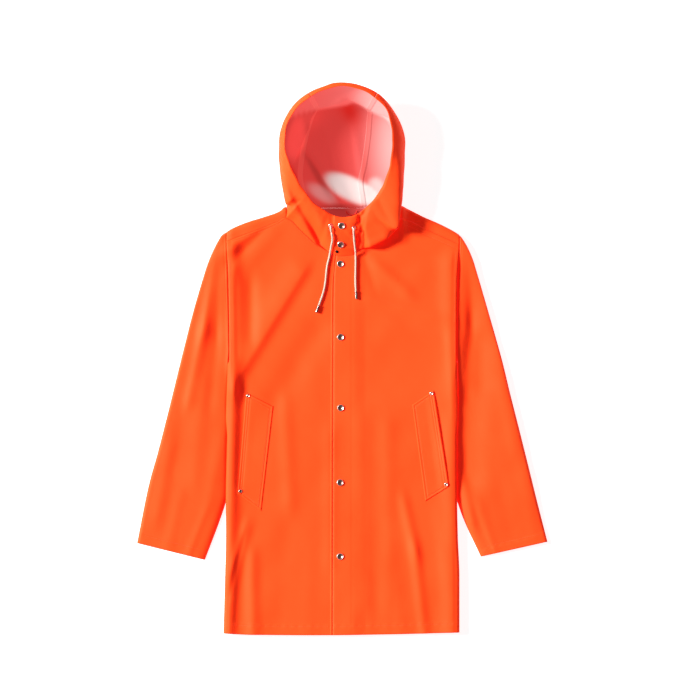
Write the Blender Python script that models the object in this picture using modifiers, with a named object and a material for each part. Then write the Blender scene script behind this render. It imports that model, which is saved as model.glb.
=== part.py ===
"""A hooded raincoat of rubberised cotton, laid flat on its back with its front snapped shut.

+Z points up from the table, +Y to the top of the hood and +X to the wearer's left. The
origin is under the middle of the whole coat. Sizes are in millimetres, turned to metres
by MM where a mesh is made.
"""

import math

import bmesh
import bpy
import numpy as np
from mathutils import Matrix, Vector
from mathutils.bvhtree import BVHTree

MM = 0.001

# Cloth and seams
CLOTH = 1.5  # wall of every sewn piece
SEAM = 0.3  # air between two pieces
LAP_LIFT = 2.4  # the upper front's height over the lower one, where they overlap
LAP_FADE = (22.0, 52.0)  # across the coat, where that lift runs out

# The coat's plan
HEM_Y = -590.0
UNDERARM_Y = 0.0
SHOULDER_Y = 265.0
CENTRE_EDGES = {  # y, x of the fronts' free edges: the left one is on top
    "right": ((HEM_Y, 20.0), (226.0, 20.0)),
    "left": ((HEM_Y, -26.5), (100.0, -25.0), (180.0, -23.5), (226.0, -19.0)),
}
NECK_X = 124.0  # half the width of the neck at the shoulder seams
NAPE_Y = 326.0
NECK_CLEARANCE = 6.0  # the back's neck edge stays this far inside the shoulder seams' ends
NECK_CORNERS = {"right": 332.5, "left": 334.0}  # y of that edge's two ends
SIDE_LINE = (  # y, right side, left side
    (-593.0, -256.0, 251.5),
    (-470.0, -252.5, 251.5),
    (-380.0, -250.5, 248.0),
    (-300.0, -251.0, 246.5),
    (-200.0, -249.0, 246.0),
    (-100.0, -246.0, 246.0),
    (0.0, -243.5, 245.2),
    (173.0, -245.5, 246.5),
    (271.0, -250.0, 252.5),
)
HEM_LINE = (  # x, y
    (-256.0, -589.0),
    (-199.0, -592.0),
    (-60.0, -593.0),
    (106.0, -591.0),
    (252.0, -587.0),
)
SHOULDER_FOLD = (  # x, y of the outline where the back turns over to the front
    (-250.0, 271.0),
    (-238.0, 281.0),
    (-203.0, 296.0),
    (-169.0, 306.5),
    (-134.0, 319.5),
    (-124.0, 328.0),
    (124.0, 331.0),
    (141.0, 323.5),
    (175.0, 306.5),
    (210.0, 291.0),
    (244.0, 273.0),
    (252.5, 267.0),
)
SHOULDER_SEAM = (  # x, y
    (-250.0, 254.0),
    (-137.0, 298.0),
    (-124.0, 306.0),
    (124.0, 302.5),
    (188.0, 276.0),
    (252.5, 247.0),
)
NECKLINE = (  # x, y of the fronts' seam with the hood
    (-124.0, 306.0),
    (-108.0, 297.0),
    (-94.0, 282.0),
    (-74.0, 263.0),
    (-55.0, 246.0),
    (-38.0, 235.0),
    (-20.0, 226.5),
    (0.0, 222.0),
    (20.0, 224.0),
    (33.0, 231.0),
    (46.0, 241.0),
    (71.0, 253.0),
    (90.0, 265.0),
    (106.0, 279.0),
    (115.0, 290.0),
    (124.0, 302.5),
)

# Heights above the table
COAT_HEIGHT = 15.0
LEAST_HEIGHT = 9.0
FRONT_FOOT = 1.9  # the fronts' side edges, just over the back
FOLD_END = 30.0  # length over which a fold dies out past its ends
COAT_FOLDS = (  # start x, start y, end x, end y, height, width on its left, on its right
    (-237, 225, -236, -60, 9.0, 17, 9),  # roll along the right side, chest
    (-236, -60, -243, -585, 8.0, 15, 9),  # the same, down to the hem
    (233, 200, 236, -585, 6.0, 12, 22),  # roll along the left side
    (-242, 238, -176, 286, 5.0, 14, 12),  # bump at the right shoulder point
    (-197, 150, -196, 55, -4.0, 14, 14),
    (-91, 182, -212, -15, 6.5, 14, 34),  # crest from the chest down to the side
    (-48, 63, -140, -90, -3.5, 28, 28),
    (-212, -375, -246, -482, 5.0, 14, 10),
    (-124, -98, -113, -302, 2.5, 16, 16),
    (-27, -170, -27, -431, 2.0, 15, 15),
    (-195, -430, -192, -590, 4.0, 14, 14),
    (81, 197, 134, 149, 3.5, 14, 14),
    (59, 128, 190, 92, 3.0, 14, 18),
    (134, -313, 156, -412, 3.5, 12, 12),
    (156, -412, 176, -588, 3.5, 12, 12),
    (42, -130, 46, -517, 2.0, 18, 18),
    (97, -150, 102, -500, 2.0, 18, 18),
)
SIDE_ROLL = (  # inset from the side line, share of the height: the fronts' turn to the side seam
    (15.0, 0.0),
    (8.0, 0.09),
    (3.5, 0.26),
    (0.8, 0.45),
    (0.0, 0.63),
    (1.5, 0.81),
    (5.0, 0.94),
)
SHOULDER_ROLL = (  # inset from the fold, share of the height
    (9.0, 0.0),
    (3.0, 0.11),
    (0.0, 0.48),
    (3.0, 0.86),
    (9.0, 1.0),
)
SHOULDER_UNDERCUT = 0.6  # the back's roll stays this far under the fronts' height
ROLL_INSETS = (10.0, 24.0)  # the first columns of a panel, inside the side line
BACK_INSET = 7.0  # the back's edge below the underarm, inside the side line
UNDERARM_RUN = 30.0  # length below the underarm over which the side edges come to rest
COAT_HALF = 248.0
BACK_ROWS = (HEM_Y, -400.0, -200.0, UNDERARM_Y - UNDERARM_RUN, UNDERARM_Y, 120.0, 220.0)
BACK_MIDDLE = (-63.0, -20.0, 14.0, 46.0)
FRONT_ROWS = {"lower": 13, "upper": 9}
SHOULDER_COLUMNS = {  # x of the columns that a front and the back share at the shoulder
    "right": (-205.0, -182.0, -160.0, -140.0, -124.0),
    "left": (208.0, 188.0, 164.0, 142.0, 124.0),
}

# Sleeves: plan points down the outer fold and the inner fold, shoulder to cuff
SLEEVES = {
    "right": {
        "outer": (
            (-250.4, 270.5), (-261.0, 264.5), (-275.0, 241.0), (-287.0, 214.0),
            (-296.0, 188.0), (-319.0, 111.0), (-339.0, 33.0), (-358.0, -44.0),
            (-377.0, -121.0), (-397.0, -199.0), (-418.0, -276.0), (-442.0, -395.0),
        ),
        "inner": (
            (-244.5, -1.5), (-245.8, -40.0), (-246.2, -80.0), (-246.2, -112.0), (-245.0, -150.0),
            (-246.0, -200.0), (-248.0, -285.0), (-253.0, -309.0), (-268.0, -354.0), (-297.0, -431.0),
        ),
    },
    "left": {
        "outer": (
            (253.0, 266.0), (258.0, 260.0), (270.0, 240.0), (281.0, 214.0),
            (289.0, 188.0), (304.0, 137.0), (341.0, 7.5), (360.0, -70.0),
            (379.5, -147.0), (399.0, -225.0), (418.0, -302.0), (441.0, -392.0),
        ),
        "inner": (
            (246.2, -1.5), (247.0, -40.0), (246.9, -80.0), (245.8, -112.0), (243.5, -150.0),
            (243.0, -200.0), (243.5, -285.0), (250.0, -311.0), (266.0, -354.0), (298.5, -424.0),
        ),
    },
}
SLEEVE_HEIGHT = 14.0
CUFF_HEIGHT = 10.0
ARMHOLE_FADE = 0.22  # share of the sleeve's length that takes the coat's height over
CUFF_FADE = 0.75  # share of that length from which it thins towards the cuff
SLEEVE_FOLDS = (
    (-266, 236, -300, 60, 5.0, 14, 10),
    (-300, 60, -330, -85, 4.0, 14, 10),
    (-372, -200, -398, -330, 2.5, 14, 14),
    (-300, -60, -318, -250, 2.0, 18, 18),
    (258, 212, 285, 63, 4.0, 18, 12),
    (285, 63, 300, -40, 3.0, 18, 14),
    (345, -60, 372, -190, 2.0, 20, 16),
    (262, -270, 278, -340, 3.0, 10, 10),
)
SLEEVE_INNER_ROLL = (  # inset from the inner fold, share of the height
    (26.0, 0.86),
    (13.0, 0.62),
    (4.5, 0.36),
    (0.0, 0.18),
    (3.0, 0.0),
)
SLEEVE_TOP = (0.2, 0.34, 0.48, 0.62, 0.76)  # shares of the width, across the top
SLEEVE_FLOOR = (0.75, 0.5, 0.25)  # and back along the table
SLEEVE_RINGS = 13

# Hood: sections round a point over the back of the head
HOOD_Y = 440.0
HOOD_RIM = (  # azimuth, radius, height
    (-49.0, 114.0, 62.0),
    (-40.7, 110.0, 67.0),
    (-30.0, 106.0, 72.0),
    (-15.0, 104.0, 78.0),
    (0.0, 105.0, 82.0),
    (15.0, 111.0, 86.0),
    (30.0, 120.0, 89.0),
    (45.0, 133.0, 92.0),
    (60.0, 138.0, 94.0),
    (75.0, 142.0, 95.0),
    (90.0, 144.0, 95.0),
    (105.0, 141.5, 94.0),
    (120.0, 139.5, 92.0),
    (135.0, 138.0, 90.0),
    (150.0, 135.0, 88.0),
    (165.0, 128.0, 86.0),
    (180.0, 121.0, 85.0),
    (195.0, 114.0, 81.0),
    (210.0, 112.0, 75.0),
    (221.5, 113.0, 68.0),
    (240.0, 121.0, 56.0),
    (255.0, 127.5, 49.0),
    (270.0, 135.0, 45.0),
    (285.0, 131.0, 49.0),
    (300.0, 120.0, 57.0),
    (312.0, 114.0, 63.0),
)
HOOD_WALL = (  # azimuth, widest radius, its height, depth of the pleat, foot radius
    (-40.7, 167.0, 30.0, 0.0, 160.0),
    (-30.0, 150.0, 34.0, 0.0, 142.0),
    (-15.0, 137.0, 38.0, 0.0, 124.0),
    (0.0, 133.5, 42.0, 0.0, 118.0),
    (15.0, 138.5, 48.0, 0.0, 122.0),
    (30.0, 141.5, 58.0, 3.0, 122.0),
    (38.0, 143.0, 66.0, 12.0, 122.0),
    (50.0, 147.0, 76.0, 28.0, 123.0),
    (60.0, 150.0, 82.0, 35.0, 126.0),
    (72.0, 151.0, 86.0, 34.0, 128.0),
    (83.0, 152.0, 87.0, 31.0, 128.0),
    (96.0, 152.5, 87.0, 40.0, 128.0),
    (107.0, 149.5, 84.0, 38.0, 126.0),
    (118.0, 149.5, 79.0, 36.0, 124.0),
    (130.0, 149.0, 70.0, 42.0, 118.0),
    (144.0, 146.0, 62.0, 51.0, 112.0),
    (162.0, 141.5, 54.0, 48.0, 108.0),
    (176.0, 137.0, 48.0, 37.0, 108.0),
    (188.0, 137.0, 44.0, 28.0, 112.0),
    (194.0, 138.5, 42.0, 14.0, 116.0),
    (200.0, 141.0, 40.0, 2.0, 122.0),
    (210.0, 148.0, 37.0, 0.0, 136.0),
    (221.5, 161.5, 32.0, 0.0, 160.0),
)
SHOULDER_OF_WALL = (0.65, 0.35)  # out and down, of the way from the rim to the widest line
TURN_UNDER = (0.1, 0.82)  # share of the pleat taken in and of the height, where it starts
PLEAT_EDGE = (3.0, 0.55)  # inside the widest line, and share of the height
UNDER_PLEAT = (0.6, 0.27)  # share of the pleat let out again, and of the height
HOOD_FLOOR_SEAMS = {  # y, x on the hood's floor, crown to nape
    "right": (
        (326.0, -63.0), (354.0, -81.0), (397.0, -91.0), (450.0, -85.0),
        (515.0, -69.0), (544.0, -57.6), (550.0, -61.0),
    ),
    "left": (
        (326.0, 46.0), (349.0, 43.0), (382.0, 38.5), (418.0, 46.0),
        (483.0, 55.0), (544.5, 60.4), (550.0, 63.5),
    ),
}
HOOD_SEAM_AZIMUTH = {"right": 119.0, "left": 60.0}
HOOD_JOIN_AZIMUTH = {"right": 221.5, "left": -40.7}  # where the walls meet the shoulders
RIM_OVER_FOOT = (  # x on the neckline, azimuth on the rim of the same section
    (-121.0, 229.0),
    (-94.0, 238.0),
    (-55.0, 249.0),
    (-19.0, 262.0),
    (14.0, 274.0),
    (46.0, 285.0),
    (90.0, 299.0),
    (121.0, 312.0),
)
APRON_RUN = (0.0, 0.18, 0.38, 0.58, 0.78, 0.94, 1.0)  # share of the way from rim to neckline
APRON_DROP = (1.0, 0.95, 0.81, 0.59, 0.33, 0.09, 0.0)  # share of the height left there
PUFF = 5.0  # how far the hood's left side swells up over the neckline
PUFF_REACH = 11.0  # and outwards
PUFF_RUN = (0.7, 0.94)  # share of the way from rim to neckline where it grows
PUFF_ZONE = (33.0, 60.0)  # across the coat, where that swell comes in
NECK_COLUMNS = {
    "right": (-121.0, -108.0, -94.0, -74.0, -55.0, -38.0, -19.0, 0.0, 14.0),
    "left": (121.0, 115.0, 106.0, 90.0, 71.0, 46.0, 33.0, 14.0, 0.0, -19.0),
}
HOOD_SEAM_GAP = 0.16  # degrees to each side of a seam
FLOOR_STEPS = 3  # from a side wall's foot to its seam on the hood's floor
HOOD_SHARES = (0.0, 0.02, *(step / 13 for step in range(1, 14)))  # sections, crown to nape

# Trims
SNAP_PLACES = (  # x, y
    (-2.0, 287.0),
    (-4.0, 247.0),
    (-4.5, 205.5),
    (-4.0, 48.0),
    (-4.0, -104.0),
    (-5.0, -264.5),
    (-5.0, -423.5),
)
SNAP_PROFILE = ((0.0, 3.0), (4.2, 2.7), (6.6, 1.7), (7.5, 0.7), (7.5, 0.0), (0.0, 0.0))  # radius, height
RIVET_PROFILE = ((0.0, 2.2), (2.6, 1.8), (4.0, 0.7), (4.0, 0.0), (0.0, 0.0))
SEAT_PROBES = 12  # heights read round a trim to seat it on the cloth
STUD_PLACE = (-12.0, 232.0)
STUD_PROFILE = ((0.0, 1.6), (2.6, 1.4), (3.5, 0.6), (3.5, 0.0), (0.0, 0.0))
EYELET_PROFILE = ((3.0, 1.4), (4.4, 1.4), (5.0, 0.9), (5.0, 0.0), (3.0, 0.0))
EYELET_PLACES = {"right": (-25.5, 287.0), "left": (24.0, 282.0)}

POCKET_CORNERS = {  # mouth top, mouth bottom, inner bottom, inner top
    "right": ((-207.5, -71.0), (-225.0, -288.0), (-175.0, -325.0), (-149.0, -101.0)),
    "left": ((196.0, -66.5), (228.5, -273.5), (178.0, -304.5), (150.0, -97.5)),
}
POCKET_MOUTH_LIFT = {"right": 0.6, "left": 2.2}
POCKET_REACH = (5.0, 8.0)  # the welt clears the highest cloth within this distance, across and along
RIVET_PLACES = {
    "right": ((-203.0, -78.0), (-219.5, -283.0)),
    "left": ((191.5, -73.5), (223.0, -268.5)),
}

CORD_DIAMETER = 4.6
CORD_REACH = (3.3, 3.0)  # the cord clears the highest cloth within this distance, across and along
CORD_ROUTES = {  # x, y, free height over the cloth
    "right": (
        (-25.5, 287.0, 0.0), (-25.0, 281.0, 3.5), (-23.5, 272.0, 1.0), (-21.5, 258.0, 0.0),
        (-24.0, 243.0, 0.0), (-28.0, 222.0, 0.0), (-32.5, 203.0, 0.0), (-35.0, 183.0, 0.0),
        (-37.5, 160.0, 0.0), (-42.5, 140.0, 0.0), (-50.5, 117.0, 0.0),
    ),
    "left": (
        (24.0, 282.0, 0.0), (24.0, 276.0, 3.5), (24.5, 267.0, 1.0), (26.0, 250.0, 0.0),
        (28.0, 232.0, 0.0), (28.5, 212.0, 0.0), (28.2, 190.0, 0.0), (28.0, 168.0, 0.0),
        (29.0, 147.0, 0.0),
    ),
}
TIP_LENGTH = 17.0
TIP_PROFILE = ((0.0, 17.0), (2.2, 17.0), (3.0, 16.2), (3.0, 0.6), (2.6, 0.0), (0.0, 0.0))
LOOP_SPAN = (8.0, 31.0)  # x of the hanging loop's ends
LOOP_Y = NAPE_Y - 6.0
LOOP_DROP = 9.0
LOOP_DIAMETER = 3.6
LOOP_CLEARANCE = 0.4

COLOURS = {  # base colour, roughness, metallic
    "rubberised_cotton": ((0.93, 0.10, 0.012), 0.5, 0.0),
    "cord_cotton": ((0.86, 0.62, 0.55), 0.85, 0.0),
    "nickel": ((0.62, 0.60, 0.58), 0.25, 1.0),
    "dark_metal": ((0.10, 0.06, 0.05), 0.4, 1.0),
}


def clear_scene():
    for obj in list(bpy.data.objects):
        bpy.data.objects.remove(obj, do_unlink=True)


def reading(rows, place, column=1):
    """A column of a table at a place of its first column, on a smooth curve that never overshoots."""
    knots = np.array([row[0] for row in rows], float)
    values = np.array([row[column] for row in rows], float)
    gaps = np.diff(knots)
    slopes = np.diff(values) / gaps
    both = slopes[:-1] * slopes[1:]
    total = slopes[:-1] + slopes[1:]
    inner = np.where(both > 0, 2 * both / np.where(total == 0, 1, total), 0)
    tangents = np.concatenate(([slopes[0]], inner, [slopes[-1]]))
    place = np.clip(place, knots[0], knots[-1])
    i = np.clip(np.searchsorted(knots, place, side="right") - 1, 0, len(knots) - 2)
    t = (place - knots[i]) / gaps[i]
    rise = values[i + 1] - values[i]
    bend = gaps[i] * ((1 - t) * tangents[i] - t * tangents[i + 1]) + (2 * t - 1) * rise
    return values[i] + t * rise + t * (1 - t) * bend


def smooth_step(value, start, end):
    t = np.clip((value - start) / (end - start), 0.0, 1.0)
    return t * t * (3 - 2 * t)


def fold_lift(x, y, folds):
    """Sum of the folds' heights: each is a soft ridge along its line, and it dies out past its ends."""
    total = 0.0
    for x0, y0, x1, y1, height, left_width, right_width in folds:
        length = math.hypot(x1 - x0, y1 - y0)
        run = ((x - x0) * (x1 - x0) + (y - y0) * (y1 - y0)) / length
        across = ((x - x0) * (y1 - y0) - (y - y0) * (x1 - x0)) / length
        width = np.where(across > 0, right_width, left_width)
        past = np.maximum(np.maximum(-run, run - length), 0.0)
        total = total + height * np.exp(-((across / width) ** 2) - (past / FOLD_END) ** 2)
    return total


def coat_height(x, y):
    """Height of the lower front's outer face, and of the back where it comes over the shoulder."""
    return np.maximum(COAT_HEIGHT + fold_lift(x, y, COAT_FOLDS), LEAST_HEIGHT)


def lap_lift(x):
    return LAP_LIFT * (1 - smooth_step(x, *LAP_FADE))


def side_x(y, side):
    return reading(SIDE_LINE, y, 1 if side == "right" else 2)


def outward(side):
    return -1.0 if side == "right" else 1.0


def coat_columns(y, side):
    """x of the coat's columns at this height, from just inside the side line to the neck."""
    line = side_x(y, side)
    shift = line - outward(side) * COAT_HALF
    edge = [line - outward(side) * inset for inset in (SEAM,) + ROLL_INSETS]
    return edge + [x + shift * smooth_step(abs(x), NECK_X, COAT_HALF) for x in SHOULDER_COLUMNS[side]]


def front_top(x):
    """Upper edge of a front: the shoulder seam, and the neckline between them."""
    return np.where(abs(x) >= NECK_X, reading(SHOULDER_SEAM, x), reading(NECKLINE, x))


def curve_points(keys, steps):
    """Points on a smooth curve through the keys, with this many steps between two keys."""
    keys = np.array(keys, float)
    ends = np.concatenate(([2 * keys[0] - keys[1]], keys, [2 * keys[-1] - keys[-2]]))
    points = []
    for i in range(len(keys) - 1):
        before, start, end, after = ends[i : i + 4]
        for step in range(steps):
            t = step / steps
            points.append(
                0.5 * (2 * start + (end - before) * t
                + (2 * before - 5 * start + 4 * end - after) * t**2
                + (3 * start - before - 3 * end + after) * t**3)
            )
    points.append(keys[-1])
    return np.array(points)


def spaced(points, count):
    """This many points, at even steps of length along a line of points."""
    run = np.concatenate(([0.0], np.cumsum(np.linalg.norm(np.diff(points, axis=0), axis=1))))
    places = np.linspace(0.0, run[-1], count)
    return np.stack([np.interp(places, run, points[:, axis]) for axis in range(points.shape[1])], axis=1)


def material(name):
    found = bpy.data.materials.get(name)
    if found:
        return found
    colour, roughness, metallic = COLOURS[name]
    made = bpy.data.materials.new(name)
    made.use_nodes = True
    shader = made.node_tree.nodes["Principled BSDF"]
    shader.inputs["Base Color"].default_value = (*colour, 1.0)
    shader.inputs["Roughness"].default_value = roughness
    shader.inputs["Metallic"].default_value = metallic
    made.diffuse_color = (*colour, 1.0)
    return made


def new_object(name, data, kind):
    obj = bpy.data.objects.new(name, data)
    data.materials.append(material(kind))
    collection.objects.link(obj)
    return obj


def cloth_panel(name, grid, kept=None, ring=False, flip=False):
    """A sewn piece: an open surface through the grid's points, which are its outer face, with a wall."""
    rows, columns = grid.shape[:2]
    mesh = bmesh.new()
    corners = [[mesh.verts.new(Vector(point) * MM) for point in row] for row in grid]
    for i in range(rows - 1):
        for j in range(columns if ring else columns - 1):
            if kept is not None and not kept(i, j):
                continue
            k = (j + 1) % columns
            face = [corners[i][j], corners[i][k], corners[i + 1][k], corners[i + 1][j]]
            mesh.faces.new(face[::-1] if flip else face)
    bmesh.ops.delete(mesh, geom=[v for v in mesh.verts if not v.link_faces], context="VERTS")
    bmesh.ops.remove_doubles(mesh, verts=mesh.verts, dist=0.01 * MM)
    data = bpy.data.meshes.new(name)
    mesh.to_mesh(data)
    mesh.free()
    data.shade_smooth()
    obj = new_object(name, data, "rubberised_cotton")
    wall = obj.modifiers.new("wall", "SOLIDIFY")
    wall.thickness = CLOTH * MM
    wall.offset = -1.0
    return obj


def back():
    """The back lies flat, and at each shoulder it turns over the top to the shoulder seam."""
    neck = NECK_X - NECK_CLEARANCE
    middle = [-neck, *BACK_MIDDLE, neck]
    nape_x = (-neck, BACK_MIDDLE[0], BACK_MIDDLE[-1], neck)
    nape_y = (NECK_CORNERS["right"], NAPE_Y - SEAM, NAPE_Y - SEAM, NECK_CORNERS["left"])

    def columns(y):
        return coat_columns(y, "right") + middle + coat_columns(y, "left")[::-1]

    grid = []
    for y in BACK_ROWS:
        row = columns(y)
        tuck = (BACK_INSET - SEAM) * (1 - smooth_step(y, UNDERARM_Y - UNDERARM_RUN, UNDERARM_Y))
        row[0], row[-1] = row[0] + tuck, row[-1] - tuck
        grid.append([(x, reading(HEM_LINE, x) if y == HEM_Y else y, 0.0) for x in row])
    for inset, share in SHOULDER_ROLL + ((None, 1.0),):
        row = []
        for x in columns(SHOULDER_Y):
            seam_y = front_top(x) + SEAM
            top = coat_height(x, seam_y)
            if abs(x) < NECK_X:
                row.append((x, np.interp(x, nape_x, nape_y), 0.0))
            elif inset is None:
                row.append((x, seam_y, top))
            else:
                row.append((x, reading(SHOULDER_FOLD, x) - inset, share * (top - SHOULDER_UNDERCUT)))
        grid.append(row)
    wrapped = len(coat_columns(SHOULDER_Y, "right")) - 1

    def kept(i, j):
        return i < len(BACK_ROWS) or j < wrapped or j >= len(grid[0]) - 1 - wrapped

    return cloth_panel("back", np.array(grid, float), kept, flip=True)


def front(side):
    """A front: the side roll up from the side seam, then the panel to its centre edge."""
    out = outward(side)
    neck = list(NECK_COLUMNS[side][1:-1])
    grid = []
    for stage, rows in FRONT_ROWS.items():
        for share in np.linspace(0.0, 1.0, rows)[stage == "upper" :]:
            nominal = HEM_Y * (1 - share) if stage == "lower" else SHOULDER_Y * share
            line = side_x(nominal, side)
            near_arm = smooth_step(nominal, UNDERARM_Y - 2 * UNDERARM_RUN, UNDERARM_Y)
            xs = coat_columns(nominal, side)[1:] + neck + [reading(CENTRE_EDGES[side], nominal)]
            roll = []
            for inset, portion in SIDE_ROLL:
                squeezed = inset if portion < 0.5 else inset * (1 - near_arm) + SEAM * near_arm
                roll.append((line - out * squeezed, portion))
            row = []
            for x, portion in roll + [(x, 1.0) for x in xs]:
                if stage == "lower":
                    y = reading(HEM_LINE, x) * (1 - share) + UNDERARM_Y * share
                else:
                    y = UNDERARM_Y * (1 - share) + front_top(x) * share
                crest = coat_height(xs[0] if portion < 1.0 else x, y)
                if side == "left":
                    crest = crest + lap_lift(x)
                row.append((x, y, FRONT_FOOT + portion * (crest - FRONT_FOOT)))
            grid.append(row)

    def kept(i, j):
        return i < FRONT_ROWS["lower"] - 1 or j >= len(SIDE_ROLL) - 1

    return cloth_panel("front_" + side, np.array(grid, float), kept, flip=side == "left")


def sleeve(side):
    """A flattened tube, whose rings fan from the armhole to the cuff."""
    outer = spaced(curve_points(SLEEVES[side]["outer"], 8), SLEEVE_RINGS)
    inner = spaced(curve_points(SLEEVES[side]["inner"], 8), SLEEVE_RINGS)
    grid = []
    for i, (start, end) in enumerate(zip(outer, inner)):
        share = i / (SLEEVE_RINGS - 1)
        width = np.linalg.norm(end - start)
        step = (end - start) / width
        armhole = 1 - smooth_step(share, 0.0, ARMHOLE_FADE)
        plain = SLEEVE_HEIGHT + (CUFF_HEIGHT - SLEEVE_HEIGHT) * smooth_step(share, CUFF_FADE, 1.0)

        def top(place):
            x, y = start + step * place
            ready = plain + fold_lift(x, y, SLEEVE_FOLDS)
            return ready + (coat_height(x, y) - ready) * armhole

        run = [(inset, portion * top(inset)) for inset, portion in SHOULDER_ROLL]
        run += [(width * part, top(width * part)) for part in SLEEVE_TOP]
        for inset, portion in SLEEVE_INNER_ROLL:
            reach = min(inset, SLEEVE_TOP[0] * width)
            run.append((width - reach, portion * top(width - reach)))
        run += [(width * part, 0.0) for part in SLEEVE_FLOOR]
        grid.append([(*(start + step * place), height) for place, height in run])
    return cloth_panel("sleeve_" + side, np.array(grid, float), ring=True, flip=side == "right")


def hood_point(azimuth, radius, height):
    angle = np.radians(azimuth)
    return np.array((radius * np.cos(angle), HOOD_Y + radius * np.sin(angle), height))


def wall_section(azimuth):
    """The hood's outer face from its rim over the widest line and the pleat down to the table."""
    rim_radius, rim_height = (reading(HOOD_RIM, azimuth, column) for column in (1, 2))
    wide, wide_height, pleat, foot = (reading(HOOD_WALL, azimuth, column) for column in (1, 2, 3, 4))
    out, down = SHOULDER_OF_WALL
    inset, edge_height = PLEAT_EDGE
    edge = wide - inset - pleat
    let_out = max(edge + UNDER_PLEAT[0] * pleat, foot + inset)
    keys = (
        (rim_radius, rim_height),
        (rim_radius + out * (wide - rim_radius), rim_height - down * (rim_height - wide_height)),
        (wide, wide_height),
        (wide - inset * 0.67 - TURN_UNDER[0] * pleat, TURN_UNDER[1] * wide_height),
        (edge, edge_height * wide_height),
        (let_out - inset * (pleat < 1.0), UNDER_PLEAT[1] * wide_height),
        (foot, 0.0),
    )
    return np.array([hood_point(azimuth, *key) for key in curve_points(keys, 2)])


def apron_section(x, side):
    """The hood's outer face from its rim down to the neckline of the fronts."""
    rim_azimuth = reading(RIM_OVER_FOOT, x)
    foot_y = reading(NECKLINE, x) + SEAM
    lift = lap_lift(x) if side == "left" else 0.0
    foot_height = coat_height(x, foot_y) + lift
    foot_azimuth = math.degrees(math.atan2(foot_y - HOOD_Y, x)) % 360.0
    foot_radius = math.hypot(x, foot_y - HOOD_Y)
    rim_radius = reading(HOOD_RIM, rim_azimuth, 1)
    rim_height = reading(HOOD_RIM, rim_azimuth, 2) + lift
    swell = smooth_step(x, *PUFF_ZONE)
    keys = []
    for run, drop in zip(APRON_RUN, APRON_DROP):
        low = swell * smooth_step(run, *PUFF_RUN) * (run < 1.0)
        keys.append((
            rim_azimuth + (foot_azimuth - rim_azimuth) * run,
            rim_radius + (foot_radius - rim_radius) * run + PUFF_REACH * low,
            foot_height + (rim_height - foot_height) * drop + PUFF * low,
        ))
    return np.array([hood_point(*key) for key in curve_points(keys, 2)])


def floor_seam(side, share):
    """A point of a seam on the hood's floor, from the foot of the crown (0) to the nape (1)."""
    foot = wall_section(HOOD_SEAM_AZIMUTH[side])[-1]
    table = HOOD_FLOOR_SEAMS[side]
    y = foot[1] + (NAPE_Y - foot[1]) * share
    x = reading(table, y) + (foot[0] - reading(table, foot[1])) * (1 - share) ** 8
    return np.array((x, y, 0.0))


def hood_side(side):
    """A side panel: from its seam on the crown round to the centre front."""
    toward = 1.0 if side == "right" else -1.0
    crown = HOOD_SEAM_AZIMUTH[side] + toward * HOOD_SEAM_GAP
    join = HOOD_JOIN_AZIMUTH[side]
    grid = []
    for share in HOOD_SHARES:
        section = wall_section(crown + (join - crown) * share)
        foot = section[-1]
        end = floor_seam(side, share) - (toward * SEAM / 2, 0.0, 0.0) if share > 0 else foot
        floor = [foot + (end - foot) * step / FLOOR_STEPS for step in range(1, FLOOR_STEPS + 1)]
        grid.append(list(section) + floor)
    for x in NECK_COLUMNS[side]:
        section = apron_section(x, side)
        grid.append(list(section) + [section[-1]] * FLOOR_STEPS)
    wall_columns = len(grid[0]) - FLOOR_STEPS

    def kept(i, j):
        return j < wall_columns - 1 or i < len(HOOD_SHARES) - 1

    return cloth_panel("hood_" + side, np.array(grid, float), kept, flip=side == "left")


def hood_centre():
    """The centre panel: from the nape over the floor, up the pleat and on to the top of the rim."""
    ends = {
        side: HOOD_SEAM_AZIMUTH[side] - toward * HOOD_SEAM_GAP
        for side, toward in (("right", 1.0), ("left", -1.0))
    }
    shares = np.linspace(0.0, 1.0, 8)
    sections = [wall_section(ends["right"] + (ends["left"] - ends["right"]) * share) for share in shares]
    grid = [[section[k] for section in sections] for k in range(len(sections[0]))]
    feet = grid[-1]
    for down in HOOD_SHARES[1:]:
        first = floor_seam("right", down) + (SEAM / 2, 0.0, 0.0)
        last = floor_seam("left", down) - (SEAM / 2, 0.0, 0.0)
        row = []
        for share, foot in zip(shares, feet):
            bow = foot - (feet[0] * (1 - share) + feet[-1] * share)
            row.append(first * (1 - share) + last * share + bow * (1 - down))
        grid.append(row)
    return cloth_panel("hood_centre", np.array(grid, float))


def surface_of(*objects):
    """The pieces' finished meshes as one set of faces that points can be dropped on."""
    graph = bpy.context.evaluated_depsgraph_get()
    corners, faces = [], []
    for obj in objects:
        mesh = obj.evaluated_get(graph).to_mesh()
        mesh.calc_loop_triangles()
        first = len(corners)
        corners += [obj.matrix_world @ vertex.co for vertex in mesh.vertices]
        faces += [[first + k for k in triangle.vertices] for triangle in mesh.loop_triangles]
    return BVHTree.FromPolygons(corners, faces)


def drop(surface, x, y):
    """Height of the surface at a place of the plan, in millimetres, seen from above."""
    hit = surface.ray_cast(Vector((x * MM, y * MM, 1.0)), Vector((0.0, 0.0, -1.0)))[0]
    return hit.z / MM if hit else 0.0


def highest(surface, x, y, reach):
    """The greatest height within a reach across and along of a place."""
    across, along = reach
    places = [(x + dx, y + dy) for dx in (-across, 0.0, across) for dy in (-along, 0.0, along)]
    return max(drop(surface, *place) for place in places)


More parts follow.
